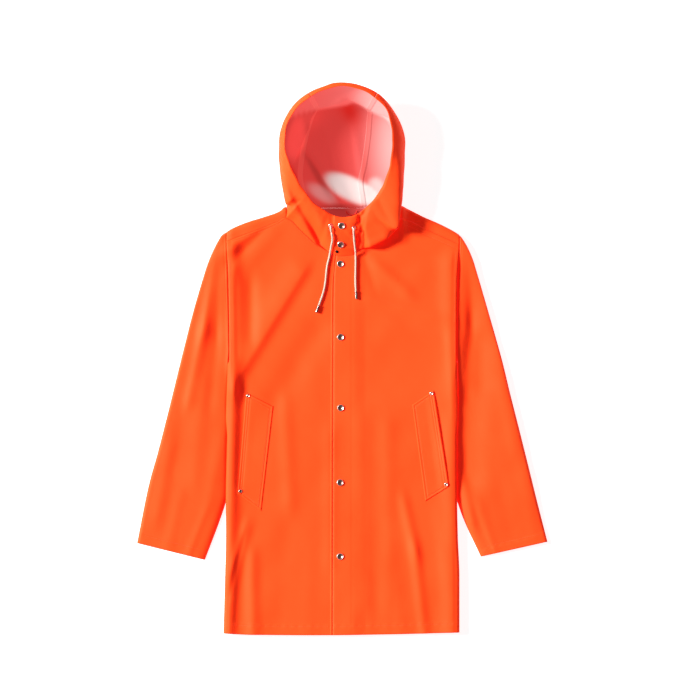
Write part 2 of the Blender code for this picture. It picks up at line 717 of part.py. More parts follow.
def seat_on(surface, x, y, radius):
    """Place and tilt of a round trim of this radius, resting on the surface with the seam gap under it."""
    turns = np.arange(SEAT_PROBES) * 2 * math.pi / SEAT_PROBES
    around = radius * np.stack((np.cos(turns), np.sin(turns)), axis=1)
    heights = np.array([drop(surface, x + dx, y + dy) for dx, dy in around])
    slope_x, slope_y = heights @ around * 2 / (SEAT_PROBES * radius**2)
    base = max(*(heights - around @ (slope_x, slope_y)), drop(surface, x, y))
    normal = Vector((-slope_x, -slope_y, 1.0)).normalized()
    point = (Vector((x, y, base)) + normal * SEAM) * MM
    return Matrix.Translation(point) @ normal.to_track_quat("Z", "Y").to_matrix().to_4x4()


def turned(name, profile, place, kind, steps=12):
    """A turned trim: its profile runs down its outer side, and its axis is its own Z."""
    data = bpy.data.meshes.new(name)
    shape = bmesh.new()
    points = [shape.verts.new((radius * MM, 0.0, height * MM)) for radius, height in profile]
    for first, second in zip(points, points[1:]):
        shape.edges.new((first, second))
    if profile[0][0] > 0:
        shape.edges.new((points[-1], points[0]))
    shape.to_mesh(data)
    shape.free()
    obj = new_object(name, data, kind)
    obj.matrix_world = place
    turn = obj.modifiers.new("turn", "SCREW")
    turn.steps = turn.render_steps = steps
    turn.use_merge_vertices = True
    turn.merge_threshold = 0.00001
    turn.use_smooth_shade = True
    return obj


def pocket_welt(side, surface):
    """A slanted strip that lies on its front, made from the front's points moved out."""
    mouth_top, mouth_bottom, inner_bottom, inner_top = (np.array(c) for c in POCKET_CORNERS[side])
    grid = []
    for down in np.linspace(0.0, 1.0, 9):
        mouth = mouth_top + (mouth_bottom - mouth_top) * down
        inner = inner_top + (inner_bottom - inner_top) * down
        row = []
        for across in np.linspace(0.0, 1.0, 5):
            x, y = mouth + (inner - mouth) * across
            lift = POCKET_MOUTH_LIFT[side] * (1 - smooth_step(across, 0.0, 0.5))
            row.append((x, y, highest(surface, x, y, POCKET_REACH) + SEAM + lift + CLOTH))
        grid.append(row)
    return cloth_panel("pocket_welt_" + side, np.array(grid, float), flip=side == "right")


def cord_route(side, surface):
    """The drawcord's middle line, lying on the cloth from its eyelet to its tip."""
    plan = curve_points(CORD_ROUTES[side], 3)
    radius = CORD_DIAMETER / 2
    route = []
    for x, y, free in plan:
        route.append((x, y, highest(surface, x, y, CORD_REACH) + radius + 2 * SEAM + free))
    return np.array(route)


def drawcord(side, route):
    data = bpy.data.curves.new("drawcord_" + side, "CURVE")
    data.dimensions = "3D"
    data.bevel_depth = CORD_DIAMETER / 2 * MM
    data.bevel_resolution = 2
    data.use_fill_caps = True
    line = data.splines.new("POLY")
    line.points.add(len(route) - 1)
    for point, place in zip(line.points, route):
        point.co = (*(Vector(place) * MM), 1.0)
    return new_object("drawcord_" + side, data, "cord_cotton")


def cord_tip(side, route):
    ahead = Vector(route[-1] - route[-3]).normalized()
    ahead.z = 0.0
    ahead.normalize()
    lift = Vector((0.0, 0.0, TIP_PROFILE[2][0] - CORD_DIAMETER / 2 + SEAM))
    start = (Vector(route[-1]) + ahead * SEAM * 2 + lift) * MM
    turn = ahead.to_track_quat("Z", "Y").to_matrix().to_4x4()
    return turned("cord_tip_" + side, TIP_PROFILE, Matrix.Translation(start) @ turn, "nickel", 10)


def hanging_loop():
    """A short cord loop sewn in at the nape, lying on the back's inner face."""
    start, end = LOOP_SPAN
    data = bpy.data.curves.new("hanging_loop", "CURVE")
    data.dimensions = "3D"
    data.bevel_depth = LOOP_DIAMETER / 2 * MM
    data.bevel_resolution = 2
    data.use_fill_caps = True
    turn = [math.pi * share for share in np.linspace(0.0, 1.0, 9)]
    line = data.splines.new("POLY")
    line.points.add(len(turn) - 1)
    middle, half = (start + end) / 2, (end - start) / 2
    for point, angle in zip(line.points, turn):
        height = CLOTH + LOOP_CLEARANCE + LOOP_DIAMETER / 2
        place = (middle - half * math.cos(angle), LOOP_Y - LOOP_DROP * math.sin(angle), height)
        point.co = (*(Vector(place) * MM), 1.0)
    return new_object("hanging_loop", data, "rubberised_cotton")


clear_scene()
collection = bpy.data.collections.new("raincoat")
bpy.context.scene.collection.children.link(collection)

back()
fronts = {side: front(side) for side in ("right", "left")}
for side in ("right", "left"):
    sleeve(side)
hoods = {side: hood_side(side) for side in ("right", "left")}
hood_centre()
bpy.context.view_layer.update()
panels = surface_of(*fronts.values(), *hoods.values())

for side in ("right", "left"):
    welt = pocket_welt(side, panels)
    bpy.context.view_layer.update()
    welt_surface = surface_of(welt)
    for number, (x, y) in enumerate(RIVET_PLACES[side], 1):
        place = seat_on(welt_surface, x, y, RIVET_PROFILE[2][0])
        turned(f"pocket_rivet_{side}_{number}", RIVET_PROFILE, place, "nickel", 10)

for number, (x, y) in enumerate(SNAP_PLACES, 1):
    place = seat_on(panels, x, y, SNAP_PROFILE[3][0])
    turned(f"snap_{number}", SNAP_PROFILE, place, "nickel")
turned("neck_eyelet", STUD_PROFILE, seat_on(panels, *STUD_PLACE, STUD_PROFILE[2][0]), "dark_metal", 10)

for side in ("right", "left"):
    place = seat_on(panels, *EYELET_PLACES[side], EYELET_PROFILE[3][0])
    turned("cord_eyelet_" + side, EYELET_PROFILE, place, "nickel")
    route = cord_route(side, panels)
    drawcord(side, route)
    cord_tip(side, route)
hanging_loop()
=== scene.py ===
"""Looks of a hooded raincoat of rubberised cotton, laid flat on its back with its front snapped shut.

The cloth panels are thin shells on the coat's own plan, with their creases, seams, hems and
stitching; the snaps, rivets, eyelets and cord tips are metal, and the drawcord is braided cotton.
Sizes are in millimetres, turned to metres by MM where a mesh is made. +Z is up from the table,
+Y towards the hood and +X towards the wearer's left.
"""

import math

import bmesh
import bpy
import numpy as np
from mathutils import Matrix, Vector
from mathutils.bvhtree import BVHTree


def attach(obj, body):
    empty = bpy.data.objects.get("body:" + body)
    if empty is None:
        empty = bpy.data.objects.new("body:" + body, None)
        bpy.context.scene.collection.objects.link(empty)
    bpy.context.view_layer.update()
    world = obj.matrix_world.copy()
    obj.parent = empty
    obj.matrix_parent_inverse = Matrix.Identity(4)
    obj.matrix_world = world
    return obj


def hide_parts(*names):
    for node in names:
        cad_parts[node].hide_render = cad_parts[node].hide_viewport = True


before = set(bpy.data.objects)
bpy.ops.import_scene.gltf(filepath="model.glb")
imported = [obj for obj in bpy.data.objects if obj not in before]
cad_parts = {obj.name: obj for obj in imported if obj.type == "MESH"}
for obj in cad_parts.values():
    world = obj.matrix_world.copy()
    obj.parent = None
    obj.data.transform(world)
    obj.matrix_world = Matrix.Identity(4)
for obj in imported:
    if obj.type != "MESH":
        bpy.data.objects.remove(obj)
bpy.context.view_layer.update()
bpy.ops.object.select_all(action="DESELECT")

MM = 0.001

# Cloth and seams
CLOTH = 1.5
SEAM = 0.3
LAP_LIFT = 2.4
LAP_FADE = (22.0, 52.0)

# The coat's plan
HEM_Y = -590.0
UNDERARM_Y = 0.0
SHOULDER_Y = 265.0
CENTRE_EDGES = {  # y, x of the fronts' free edges: the left one is on top
    "right": ((HEM_Y, 20.0), (226.0, 20.0)),
    "left": ((HEM_Y, -26.5), (100.0, -25.0), (180.0, -23.5), (226.0, -19.0)),
}
NECK_X = 120.3
NAPE_Y = 326.0
NECK_CLEARANCE = 6.0
NECK_CORNERS = {"right": 332.5, "left": 334.0}
SIDE_LINE = (  # y, right side, left side
    (-593.0, -256.0, 251.5),
    (-470.0, -252.5, 251.5),
    (-380.0, -250.5, 248.0),
    (-300.0, -251.0, 246.5),
    (-200.0, -249.0, 246.0),
    (-100.0, -246.0, 246.0),
    (0.0, -243.5, 245.2),
    (173.0, -245.5, 246.5),
    (271.0, -250.0, 252.5),
)
HEM_LINE = (  # x, y
    (-256.0, -589.0),
    (-199.0, -592.0),
    (-60.0, -593.0),
    (106.0, -591.0),
    (252.0, -587.0),
)
SHOULDER_FOLD = (  # x, y of the outline where the back turns over to the front
    (-250.0, 274.0),
    (-238.0, 281.5),
    (-203.0, 296.0),
    (-169.0, 306.5),
    (-134.0, 319.5),
    (-124.0, 328.0),
    (124.0, 331.0),
    (141.0, 323.5),
    (175.0, 306.5),
    (210.0, 291.0),
    (244.0, 273.0),
    (252.5, 267.0),
)
SHOULDER_SEAM = (  # x, y
    (-250.0, 254.0),
    (-137.0, 298.0),
    (-124.0, 306.0),
    (124.0, 302.5),
    (188.0, 276.0),
    (252.5, 247.0),
)
NECKLINE = (  # x, y of the fronts' seam with the hood
    (-124.0, 306.0),
    (-108.0, 297.0),
    (-94.0, 282.0),
    (-74.0, 263.0),
    (-55.0, 246.0),
    (-38.0, 235.0),
    (-20.0, 226.5),
    (0.0, 222.0),
    (20.0, 224.0),
    (33.0, 231.0),
    (46.0, 241.0),
    (71.0, 253.0),
    (90.0, 263.0),
    (106.0, 272.0),
    (116.0, 279.0),
    (121.0, 288.0),
    (124.0, 302.5),
)

# Heights above the table
COAT_HEIGHT = 15.0
LEAST_HEIGHT = 9.0
FRONT_FOOT = 1.9
FOLD_END = 30.0
COAT_FOLDS = (  # start x, start y, end x, end y, height, width on its left, on its right
    (123, 352, 128, 304, 13.0, 8, 32),
    (-237, 225, -236, -60, 9.0, 17, 9),
    (-236, -60, -243, -585, 8.0, 15, 9),
    (233, 200, 236, -585, 6.0, 12, 22),
    (-242, 238, -176, 286, 5.0, 14, 12),
    (-197, 150, -196, 55, -4.0, 14, 14),
    (-91, 182, -212, -15, 6.5, 14, 34),
    (-48, 63, -140, -90, -3.5, 28, 28),
    (-212, -375, -246, -482, 5.0, 14, 10),
    (-124, -98, -113, -302, 2.5, 16, 16),
    (-27, -170, -27, -431, 2.0, 15, 15),
    (-195, -430, -192, -590, 4.0, 14, 14),
    (81, 197, 134, 149, 3.5, 14, 14),
    (59, 128, 190, 92, 3.0, 14, 18),
    (134, -313, 156, -412, 3.5, 12, 12),
    (156, -412, 176, -588, 3.5, 12, 12),
    (42, -130, 46, -517, 2.0, 18, 18),
    (97, -150, 102, -500, 2.0, 18, 18),
)
COAT_CREASES = (  # the same columns, for creases finer than the main folds
    (-173, 280, -236, 210, -2.5, 10, 16),
    (-150, 270, -196, 214, 1.5, 16, 16),
    (-230, 150, -228, 20, -2.2, 8, 16),
    (-214, -95, -222, -255, -2.0, 10, 10),
    (-216, -395, -244, -500, -2.6, 7, 9),
    (-200, -385, -234, -590, -1.2, 16, 10),
    (-60, 130, -20, 60, 1.0, 22, 26),
    (-70, 0, -60, -90, 1.0, 24, 24),
    (30, 150, 120, 60, 0.8, 22, 30),
    (100, 60, 210, 20, 0.9, 26, 26),
    (218, 40, 226, -100, -1.6, 10, 14),
    (60, -20, 110, -60, -0.7, 26, 30),
    (205, -330, 222, -470, 0.9, 14, 14),
    (-120, -360, -135, -560, -1.0, 22, 22),
    (-70, -420, -76, -585, 0.8, 18, 18),
    (10, -330, 20, -560, 0.7, 16, 20),
    (70, -470, 78, -590, -0.8, 14, 14),
    (120, -480, 124, -590, 0.8, 16, 12),
    (205, 230, 120, 190, -0.8, 20, 20),
    (42, 238, 62, 176, -1.4, 12, 9),
)
DRIFT_WAVES = (  # turns over x and y, phase, height
    (0.031, 0.011, 0.3, 0.40), (-0.017, 0.043, 1.9, 0.34), (0.062, -0.037, 4.1, 0.18),
    (0.021, 0.083, 2.6, 0.14), (-0.094, 0.052, 0.9, 0.08), (0.12, 0.10, 5.2, 0.05),
)
SIDE_ROLL = (  # inset from the side line, share of the height
    (15.0, 0.0),
    (8.0, 0.09),
    (3.5, 0.26),
    (0.8, 0.45),
    (0.0, 0.63),
    (1.5, 0.81),
    (5.0, 0.94),
    (10.0, 1.0),
)
SHOULDER_ROLL = (  # inset from the fold, share of the height
    (9.0, 0.0),
    (3.0, 0.11),
    (0.0, 0.48),
    (3.0, 0.86),
    (9.0, 1.0),
)
SHOULDER_UNDERCUT = 0.6
BACK_INSET = 7.0
UNDERARM_RUN = 30.0
ARM_OVERLAP = {"right": 4.0, "left": 2.0}  # how far the side roll leans over the sleeve below the underarm
OVERLAP_START = (-170.0, -120.0)  # y
OVERLAP_END = (-10.0, -2.0)

# Sleeves: plan points down the outer fold and the inner fold, shoulder to cuff
SLEEVES = {
    "right": {
        "outer": (
            (-250.4, 273.5), (-261.0, 265.5), (-275.0, 241.0), (-287.0, 214.0),
            (-296.0, 188.0), (-319.0, 111.0), (-339.0, 33.0), (-358.0, -44.0),
            (-377.0, -121.0), (-397.0, -199.0), (-418.0, -276.0), (-442.0, -395.0),
        ),
        "inner": (
            (-244.5, -1.5), (-245.8, -40.0), (-246.2, -80.0), (-246.2, -112.0), (-245.0, -150.0),
            (-246.0, -200.0), (-248.0, -285.0), (-253.0, -309.0), (-268.0, -354.0), (-297.0, -431.0),
        ),
    },
    "left": {
        "outer": (
            (253.0, 266.0), (258.0, 260.0), (270.0, 240.0), (281.0, 214.0),
            (289.0, 188.0), (304.0, 137.0), (341.0, 7.5), (360.0, -70.0),
            (379.5, -147.0), (399.0, -225.0), (418.0, -302.0), (441.0, -392.0),
        ),
        "inner": (
            (246.2, -1.5), (247.0, -40.0), (246.9, -80.0), (245.8, -112.0), (243.5, -150.0),
            (243.0, -200.0), (243.5, -285.0), (250.0, -311.0), (266.0, -354.0), (298.5, -424.0),
        ),
    },
}
SLEEVE_HEIGHT = 14.0
LEAST_SLEEVE = 4.6
SLEEVE_TUCK = 4.5  # seam allowance under the body's edge
CUFF_HEIGHT = 10.0
ARMHOLE_FADE = 0.22
CUFF_FADE = 0.75
SLEEVE_FOLDS = (
    (-266, 236, -300, 60, 5.0, 14, 10),
    (-300, 60, -330, -85, 4.0, 14, 10),
    (-372, -200, -398, -330, 2.5, 14, 14),
    (-300, -60, -318, -250, 2.0, 18, 18),
    (263, 165, 277, 80, -5.0, 26, 18),
    (289, 32, 292, -50, -8.0, 30, 36),
    (277, -98, 270, -255, -7.5, 34, 24),
    (345, -60, 372, -190, 2.0, 20, 16),
    (262, -270, 278, -340, 3.0, 10, 10),
)
SLEEVE_CREASES = (
    (-262, 210, -268, 60, -2.2, 8, 8),
    (-268, 60, -285, -90, -1.6, 12, 12),
    (-340, -120, -365, -230, -1.2, 16, 16),
    (-350, -300, -372, -390, 1.3, 12, 12),
    (-300, -340, -330, -415, 1.4, 9, 9),
    (-262, -180, -285, -300, 1.2, 14, 14),
    (268, 190, 276, 90, -2.4, 9, 9),
    (276, 90, 268, -60, -1.8, 12, 12),
    (262, -80, 262, -230, -1.2, 12, 16),
    (330, -230, 360, -360, -1.0, 18, 18),
    (390, -250, 410, -370, 1.0, 14, 14),
    (300, -330, 325, -410, 1.2, 10, 10),
)
SLEEVE_INNER_ROLLS = {  # inset from the inner fold, share of the height
    "right": ((26.0, 0.95), (13.0, 0.84), (4.5, 0.62), (0.0, 0.30), (3.0, 0.0)),
    "left": ((26.0, 0.90), (13.0, 0.84), (4.5, 0.66), (0.0, 0.32), (3.0, 0.0)),
}
SLEEVE_TOP = (0.2, 0.34, 0.48, 0.62, 0.76)  # shares of the width, across the top
SLEEVE_FLOOR = (0.75, 0.5, 0.25)  # and back along the table

# Hood: sections round a point over the back of the head
HOOD_Y = 440.0
HOOD_RIM = (  # azimuth, radius, height
    (-49.0, 114.0, 62.0),
    (-40.7, 110.0, 67.0),
    (-30.0, 106.0, 72.0),
    (-15.0, 104.0, 78.0),
    (0.0, 105.0, 82.0),
    (15.0, 111.0, 86.0),
    (30.0, 120.0, 89.0),
    (45.0, 133.0, 92.0),
    (60.0, 138.0, 94.0),
    (75.0, 142.0, 95.0),
    (90.0, 144.0, 95.0),
    (105.0, 141.5, 94.0),
    (120.0, 139.5, 92.0),
    (135.0, 138.0, 90.0),
    (150.0, 135.0, 88.0),
    (165.0, 128.0, 86.0),
    (180.0, 121.0, 85.0),
    (195.0, 114.0, 81.0),
    (210.0, 112.0, 75.0),
    (221.5, 113.0, 68.0),
    (240.0, 121.0, 56.0),
    (255.0, 127.5, 49.0),
    (270.0, 135.0, 45.0),
    (285.0, 131.0, 49.0),
    (300.0, 120.0, 57.0),
    (312.0, 114.0, 63.0),
)
HOOD_WALL = (  # azimuth, widest radius, its height, depth of the pleat, foot radius
    (-40.7, 167.0, 54.0, 0.0, 160.0),
    (-30.0, 150.0, 48.0, 0.0, 142.0),
    (-15.0, 137.0, 43.0, 0.0, 124.0),
    (0.0, 133.5, 43.0, 0.0, 118.0),
    (15.0, 138.5, 48.0, 0.0, 122.0),
    (30.0, 141.5, 58.0, 3.0, 122.0),
    (38.0, 143.0, 66.0, 12.0, 122.0),
    (50.0, 147.0, 76.0, 28.0, 123.0),
    (60.0, 150.0, 82.0, 35.0, 126.0),
    (72.0, 151.0, 86.0, 34.0, 128.0),
    (83.0, 152.0, 87.0, 31.0, 128.0),
    (96.0, 152.5, 87.0, 40.0, 128.0),
    (107.0, 149.5, 84.0, 38.0, 126.0),
    (118.0, 149.5, 79.0, 36.0, 124.0),
    (130.0, 149.0, 70.0, 42.0, 118.0),
    (144.0, 146.0, 62.0, 51.0, 112.0),
    (162.0, 141.5, 54.0, 48.0, 108.0),
    (176.0, 137.0, 48.0, 37.0, 108.0),
    (188.0, 137.0, 44.0, 28.0, 112.0),
    (194.0, 138.5, 42.0, 14.0, 116.0),
    (200.0, 141.0, 40.0, 2.0, 122.0),
    (210.0, 148.0, 37.0, 0.0, 136.0),
    (221.5, 161.5, 32.0, 0.0, 160.0),
)
SHOULDER_OF_WALL = (0.65, 0.35)
STEEP_SIDE = (-25.0, 5.0)  # azimuths over which the left side wall stands steeper
TURN_UNDER = (0.1, 0.82)
PLEAT_EDGE = (3.0, 0.55)
UNDER_PLEAT = (0.6, 0.27)
HOOD_FLOOR_SEAMS = {  # y, x on the hood's floor, crown to nape
    "right": (
        (326.0, -63.0), (354.0, -81.0), (397.0, -91.0), (450.0, -85.0),
        (515.0, -69.0), (544.0, -57.6), (550.0, -61.0),
    ),
    "left": (
        (326.0, 46.0), (349.0, 43.0), (382.0, 38.5), (418.0, 46.0),
        (483.0, 55.0), (544.5, 60.4), (550.0, 63.5),
    ),
}
HOOD_SEAM_AZIMUTH = {"right": 119.0, "left": 60.0}
HOOD_JOIN_AZIMUTH = {"right": 221.5, "left": -40.7}
RIM_OVER_FOOT = (  # x on the neckline, azimuth on the rim of the same section
    (-121.0, 229.0),
    (-94.0, 238.0),
    (-55.0, 249.0),
    (-19.0, 262.0),
    (14.0, 274.0),
    (46.0, 285.0),
    (90.0, 299.0),
    (121.0, 312.0),
)
APRON_RUN = (0.0, 0.18, 0.38, 0.58, 0.78, 0.94, 1.0)
APRON_DROP = (1.0, 0.95, 0.81, 0.59, 0.33, 0.09, 0.0)
FLAP_DROP = (1.0, 0.97, 0.90, 0.79, 0.65, 0.42, 0.0)  # on the left, where the hood lies as a flap
CORNER_RUN = (0.0, 0.6, 0.97, 0.985, 0.99, 0.995, 1.0)  # at its corner, where the hood drops at its outline
CORNER_DROP = (1.0, 0.90, 0.80, 0.62, 0.42, 0.20, 0.0)
CORNER_ZONE = (88.0, 119.0)
PUFF = 5.0
PUFF_REACH = 11.0
PUFF_RUN = (0.7, 0.94)
PUFF_ZONE = (33.0, 60.0)
NECK_REACH = {"right": (-121.0, 14.0), "left": (121.0, -19.0)}
HOOD_SEAM_GAP = 0.16
RIM_WAVE = (0.5, 17.0)  # the rim's small scallops, and how many go round
RIM_STITCH = 9.0
SECTION_STEPS = 6
HOOD_FLOOR_FOLDS = (  # folds of the lining inside
    (-72, 446, -8, 354, 7.0, 16, 5),
    (-8, 354, 12, 338, 4.0, 12, 5),
    (30, 470, 44, 380, 3.0, 12, 8),
    (-40, 500, -20, 430, 2.5, 10, 12),
)
HOOD_FOLDS = (  # the diagonal valley and the wrinkles beside the front opening
    (-104, 352, -58, 272, -8.0, 13, 8),
    (-58, 272, -42, 240, -6.0, 10, 7),
    (-116, 338, -76, 276, 1.8, 10, 10),
    (50, 324, 38, 300, -4.0, 5, 5),
    (38, 300, 42, 278, -3.5, 4, 5),
    (42, 278, 38, 258, -3.2, 4, 5),
    (38, 258, 46, 238, -3.0, 6, 7),
    (22, 262, 34, 250, 1.4, 4, 4),
    (14, 246, 30, 240, -1.3, 4, 4),
    (24, 238, 40, 236, 1.2, 4, 4),
    (-36, 292, -44, 268, -1.6, 6, 6),
    (-68, 322, -60, 306, -1.2, 6, 6),
    (66, 300, 96, 270, 1.2, 10, 10),
    (84, 330, 100, 296, -1.4, 8, 8),
    (-22, 306, -24, 286, -1.8, 5, 5),
)

# Trims
SNAP_PLACES = (  # x, y
    (-2.0, 287.0),
    (-4.0, 247.0),
    (-4.5, 205.5),
    (-4.0, 48.0),
    (-4.0, -104.0),
    (-5.0, -264.5),
    (-5.0, -423.5),
)
SNAP_RADIUS = 7.5
RIVET_RADIUS = 4.0
STUD_PLACE = (-12.0, 232.0)
STUD_RADIUS = 3.5
EYELET_PLACES = {"right": (-25.5, 287.0), "left": (24.0, 282.0)}
EYELET_RADIUS = 5.0
EYELET_FLATNESS = 0.7
RIVET_SEAT = 3.2
SEAT_PROBES = 12
POCKET_CORNERS = {  # mouth top, mouth bottom, inner bottom, inner top
    "right": ((-207.5, -71.0), (-225.0, -288.0), (-175.0, -325.0), (-149.0, -101.0)),
    "left": ((196.0, -66.5), (228.5, -273.5), (178.0, -304.5), (150.0, -97.5)),
}
RIVET_PLACES = {
    "right": ((-203.0, -78.0), (-219.5, -283.0)),
    "left": ((191.5, -73.5), (223.0, -268.5)),
}
CORD_DIAMETER = 4.6
BRAID_SIDES = 32
BRAID_STEP = 0.9
BRAID_RELIEF = 0.30
BRAID_STRANDS = 4
BRAID_TURN = 1.3
CORD_REACH = (3.3, 3.0)
CORD_ROUTES = {  # x, y, free height over the cloth
    "right": (
        (-25.5, 287.0, 0.0), (-25.0, 281.0, 3.5), (-23.5, 272.0, 1.0), (-21.5, 258.0, 0.0),
        (-24.0, 243.0, 0.0), (-28.0, 222.0, 0.0), (-32.5, 203.0, 0.0), (-35.0, 183.0, 0.0),
        (-37.5, 160.0, 0.0), (-42.5, 140.0, 0.0), (-50.5, 117.0, 0.0),
    ),
    "left": (
        (24.0, 282.0, 0.0), (24.0, 276.0, 3.5), (24.5, 267.0, 1.0), (26.0, 250.0, 0.0),
        (28.0, 232.0, 0.0), (28.5, 212.0, 0.0), (28.2, 190.0, 0.0), (28.0, 168.0, 0.0),
        (29.0, 147.0, 0.0),
    ),
}
TIP_RADIUS = 3.0
TIP_STAGES = (  # height and end radius of each ring of a tip
    (0.5, 2.6), (0.4, 3.0), (2.2, 3.0), (0.4, 2.55), (0.9, 2.55), (0.4, 3.0), (1.6, 3.0), (0.4, 2.6),
    (0.8, 2.6), (0.4, 3.0), (7.8, 2.9), (0.7, 2.5), (0.3, 1.8),
)
SNAP_PRESSES = (  # width and rise of each ring that is pressed into the cap
    (0.4, 0.5), (0.4, 0.35), (0.4, 0.05), (0.4, -0.16), (1.1, -0.6), (1.3, -0.66), (1.3, -0.36), (1.1, -0.12),
)
RIVET_PRESSES = ((0.35, 0.45), (0.35, 0.2), (0.3, 0.0), (0.5, -0.35), (0.7, -0.35), (0.7, -0.15))
STUD_PRESSES = ((0.4, 0.4), (0.6, 0.25), (0.8, 0.15), (0.8, 0.05))
LOOP_SPAN = (8.0, 31.0)
LOOP_Y = NAPE_Y - 6.0
LOOP_DROP = 9.0
LOOP_DIAMETER = 3.6
LOOP_CLEARANCE = 0.4
WELT_WALL = 1.2
WELT_STITCH = 5.5
MOUTH_STITCH = 10.5
WELT_MOUTH_LIFT = {"right": 0.8, "left": 3.0}

# Painted light inside the hood, set as colour on the lining and seam tape: pools of light, painted shade
# under the brim and a painted red glow in place of light through the cloth
LINING_SHADE = 0.06
LINING_LIGHT = (  # painted light and shade on the lining: x, y, reach along and across, angle, sharpness, share of the light
    (112, 455, 130, 52, 90, 1.0, 0.50),
    (20, 366, 62, 25, -27, 4.0, 0.92),
    (70, 366, 26, 20, 90, 3.0, 0.50),
    (-44, 357, 34, 15, -32, 2.0, 0.28),
    (18, 534, 34, 20, -60, 1.0, -0.06),
    (-104, 385, 40, 10, -70, 1.5, -0.06),
)
THROUGH_LIGHT = (  # the same columns, for the painted red glow that stands in for light through the cloth
    (-100, 474, 46, 19, 80, 3.0, 0.50),
    (-53, 396, 56, 8, -60, 1.5, -0.32),
    (-74, 520, 30, 22, 0, 1.0, 0.20),
    (-10, 440, 50, 34, 90, 1.5, 0.06),
    (8, 326, 60, 9, 0, 2.0, -0.45),
)
PLEAT_LINE = (  # x, y of the pleat's edge under the brim
    (-112.0, 520.0),
    (-108.6, 522.0),
    (-48.0, 537.7),
    (8.0, 547.0),
    (22.5, 551.5),
    (60.0, 533.0),
    (98.0, 515.0),
    (112.0, 500.0),
)
BRIM_LIGHT = (  # x, share of the painted light on the brim's inside
    (-112.0, 0.04),
    (-40.0, 0.07),
    (20.0, 0.14),
    (60.0, 0.26),
    (100.0, 0.12),
)
# share of the painted red glow on the brim's inside
BRIM_THROUGH = 0.42
TAPE_WIDTH = 11.0
TAPE_RISE = 0.9
TAPE_WALL = 0.5
BRIM_BLUR = 5.0

# Stitching
HEM_WIDTH = 22.0
HEM_STITCH = 19.5
EDGE_STITCH = 5.5
SHOULDER_STITCH = {"right": 6.0, "left": 12.0}
NECK_STITCH = 4.0
ARM_STITCH = 5.0
SEAM_GROOVE = (1.6, 0.7)  # width, depth
EDGE_GROOVE = (0.9, 0.6)
RIM_PUCKER = (0.22, 3.4)  # height, and the length over which it swings
HEM_PUCKER = (0.16, 2.9)
EDGE_PUCKER = (0.10, 3.1)
PUCKER_REACH = 5.0
UNDER_EDGE = (15.5, 20.5)  # where the upper front sinks past the edge of the lower one
UNDER_EDGE_FADE = (22.0, 50.0)
UNDER_EDGE_DIP = 0.28
STITCH = 2.7
STITCH_PITCH = 3.5
STITCH_RADIUS = 0.33
STITCH_SIDES = 6
STITCH_PROFILE = (  # run, girth, rise
    (-0.5, 0.2, -0.25), (-0.32, 0.9, 0.12), (0.32, 0.9, 0.12), (0.5, 0.2, -0.25),
)
HEM_STITCH_END = {"right": -30.0, "left": CENTRE_EDGES["left"][0][1]}

# Camera and light
CAMERA_PLACE = (0.0161, 0.0204, 12.0)
FRAME_WIDTH = 1.505  # of the coat, across the picture
KEY_DISTANCE = 14.0
KEY_WIDTH = 14.0  # degrees that the lamp spans
KEY_ELEVATION = 32.0
KEY_AZIMUTH = 166.0
KEY_POWER = 5300.0
KEY_COLOUR = (1.0, 0.985, 0.96)
SURROUND_COLOUR = (0.97, 0.985, 1.0, 1.0)
FILL = 0.18
FILL_OVERHEAD = 0.12  # share of the fill
DARK_OVERHEAD = (0.70, 0.90)
TABLE_GLOW = 0.895
TABLE_SIZE = 8.0
TABLE_DROP = 0.0002


def reading(rows, place, column=1):
    """A column of a table at a place of its first column, on a smooth curve that never overshoots."""
    knots = np.array([row[0] for row in rows], float)
    values = np.array([row[column] for row in rows], float)
    gaps = np.diff(knots)
    slopes = np.diff(values) / gaps
    both = slopes[:-1] * slopes[1:]
    total = slopes[:-1] + slopes[1:]
    inner = np.where(both > 0, 2 * both / np.where(total == 0, 1, total), 0)
    tangents = np.concatenate(([slopes[0]], inner, [slopes[-1]]))
    place = np.clip(place, knots[0], knots[-1])
    i = np.clip(np.searchsorted(knots, place, side="right") - 1, 0, len(knots) - 2)
    t = (place - knots[i]) / gaps[i]
    rise = values[i + 1] - values[i]
    bend = gaps[i] * ((1 - t) * tangents[i] - t * tangents[i + 1]) + (2 * t - 1) * rise
    return values[i] + t * rise + t * (1 - t) * bend


def linked(name, data):
    obj = bpy.data.objects.new(name, data)
    bpy.context.scene.collection.objects.link(obj)
    return obj


def smooth_step(value, start, end):
    t = np.clip((value - start) / (end - start), 0.0, 1.0)
    return t * t * (3 - 2 * t)


def fold_lift(x, y, folds):
    """Sum of the folds' heights: each is a soft ridge along its line, and it dies out past its ends."""
    total = np.zeros(np.broadcast(x, y).shape)
    for x0, y0, x1, y1, height, left_width, right_width in folds:
        length = math.hypot(x1 - x0, y1 - y0)
        run = ((x - x0) * (x1 - x0) + (y - y0) * (y1 - y0)) / length
        across = ((x - x0) * (y1 - y0) - (y - y0) * (x1 - x0)) / length
        width = np.where(across > 0, right_width, left_width)
        past = np.maximum(np.maximum(-run, run - length), 0.0)
        total = total + height * np.exp(-((across / width) ** 2) - (past / FOLD_END) ** 2)
    return total


def drift(x, y):
    """Slow unevenness of cloth that has been folded away and laid out again."""
    return sum(size * np.sin(kx * x + ky * y + phase) for kx, ky, phase, size in DRIFT_WAVES)


def coat_height(x, y):
    lift = fold_lift(x, y, COAT_FOLDS) + fold_lift(x, y, COAT_CREASES) + drift(x, y)
    return np.maximum(COAT_HEIGHT + lift, LEAST_HEIGHT)


def lap_lift(x):
    return LAP_LIFT * (1 - smooth_step(x, *LAP_FADE))


def side_x(y, side):
    return reading(SIDE_LINE, y, 1 if side == "right" else 2)


def outward(side):
    return -1.0 if side == "right" else 1.0


def front_top(x):
    return np.where(abs(x) >= NECK_X, reading(SHOULDER_SEAM, x), reading(NECKLINE, x))


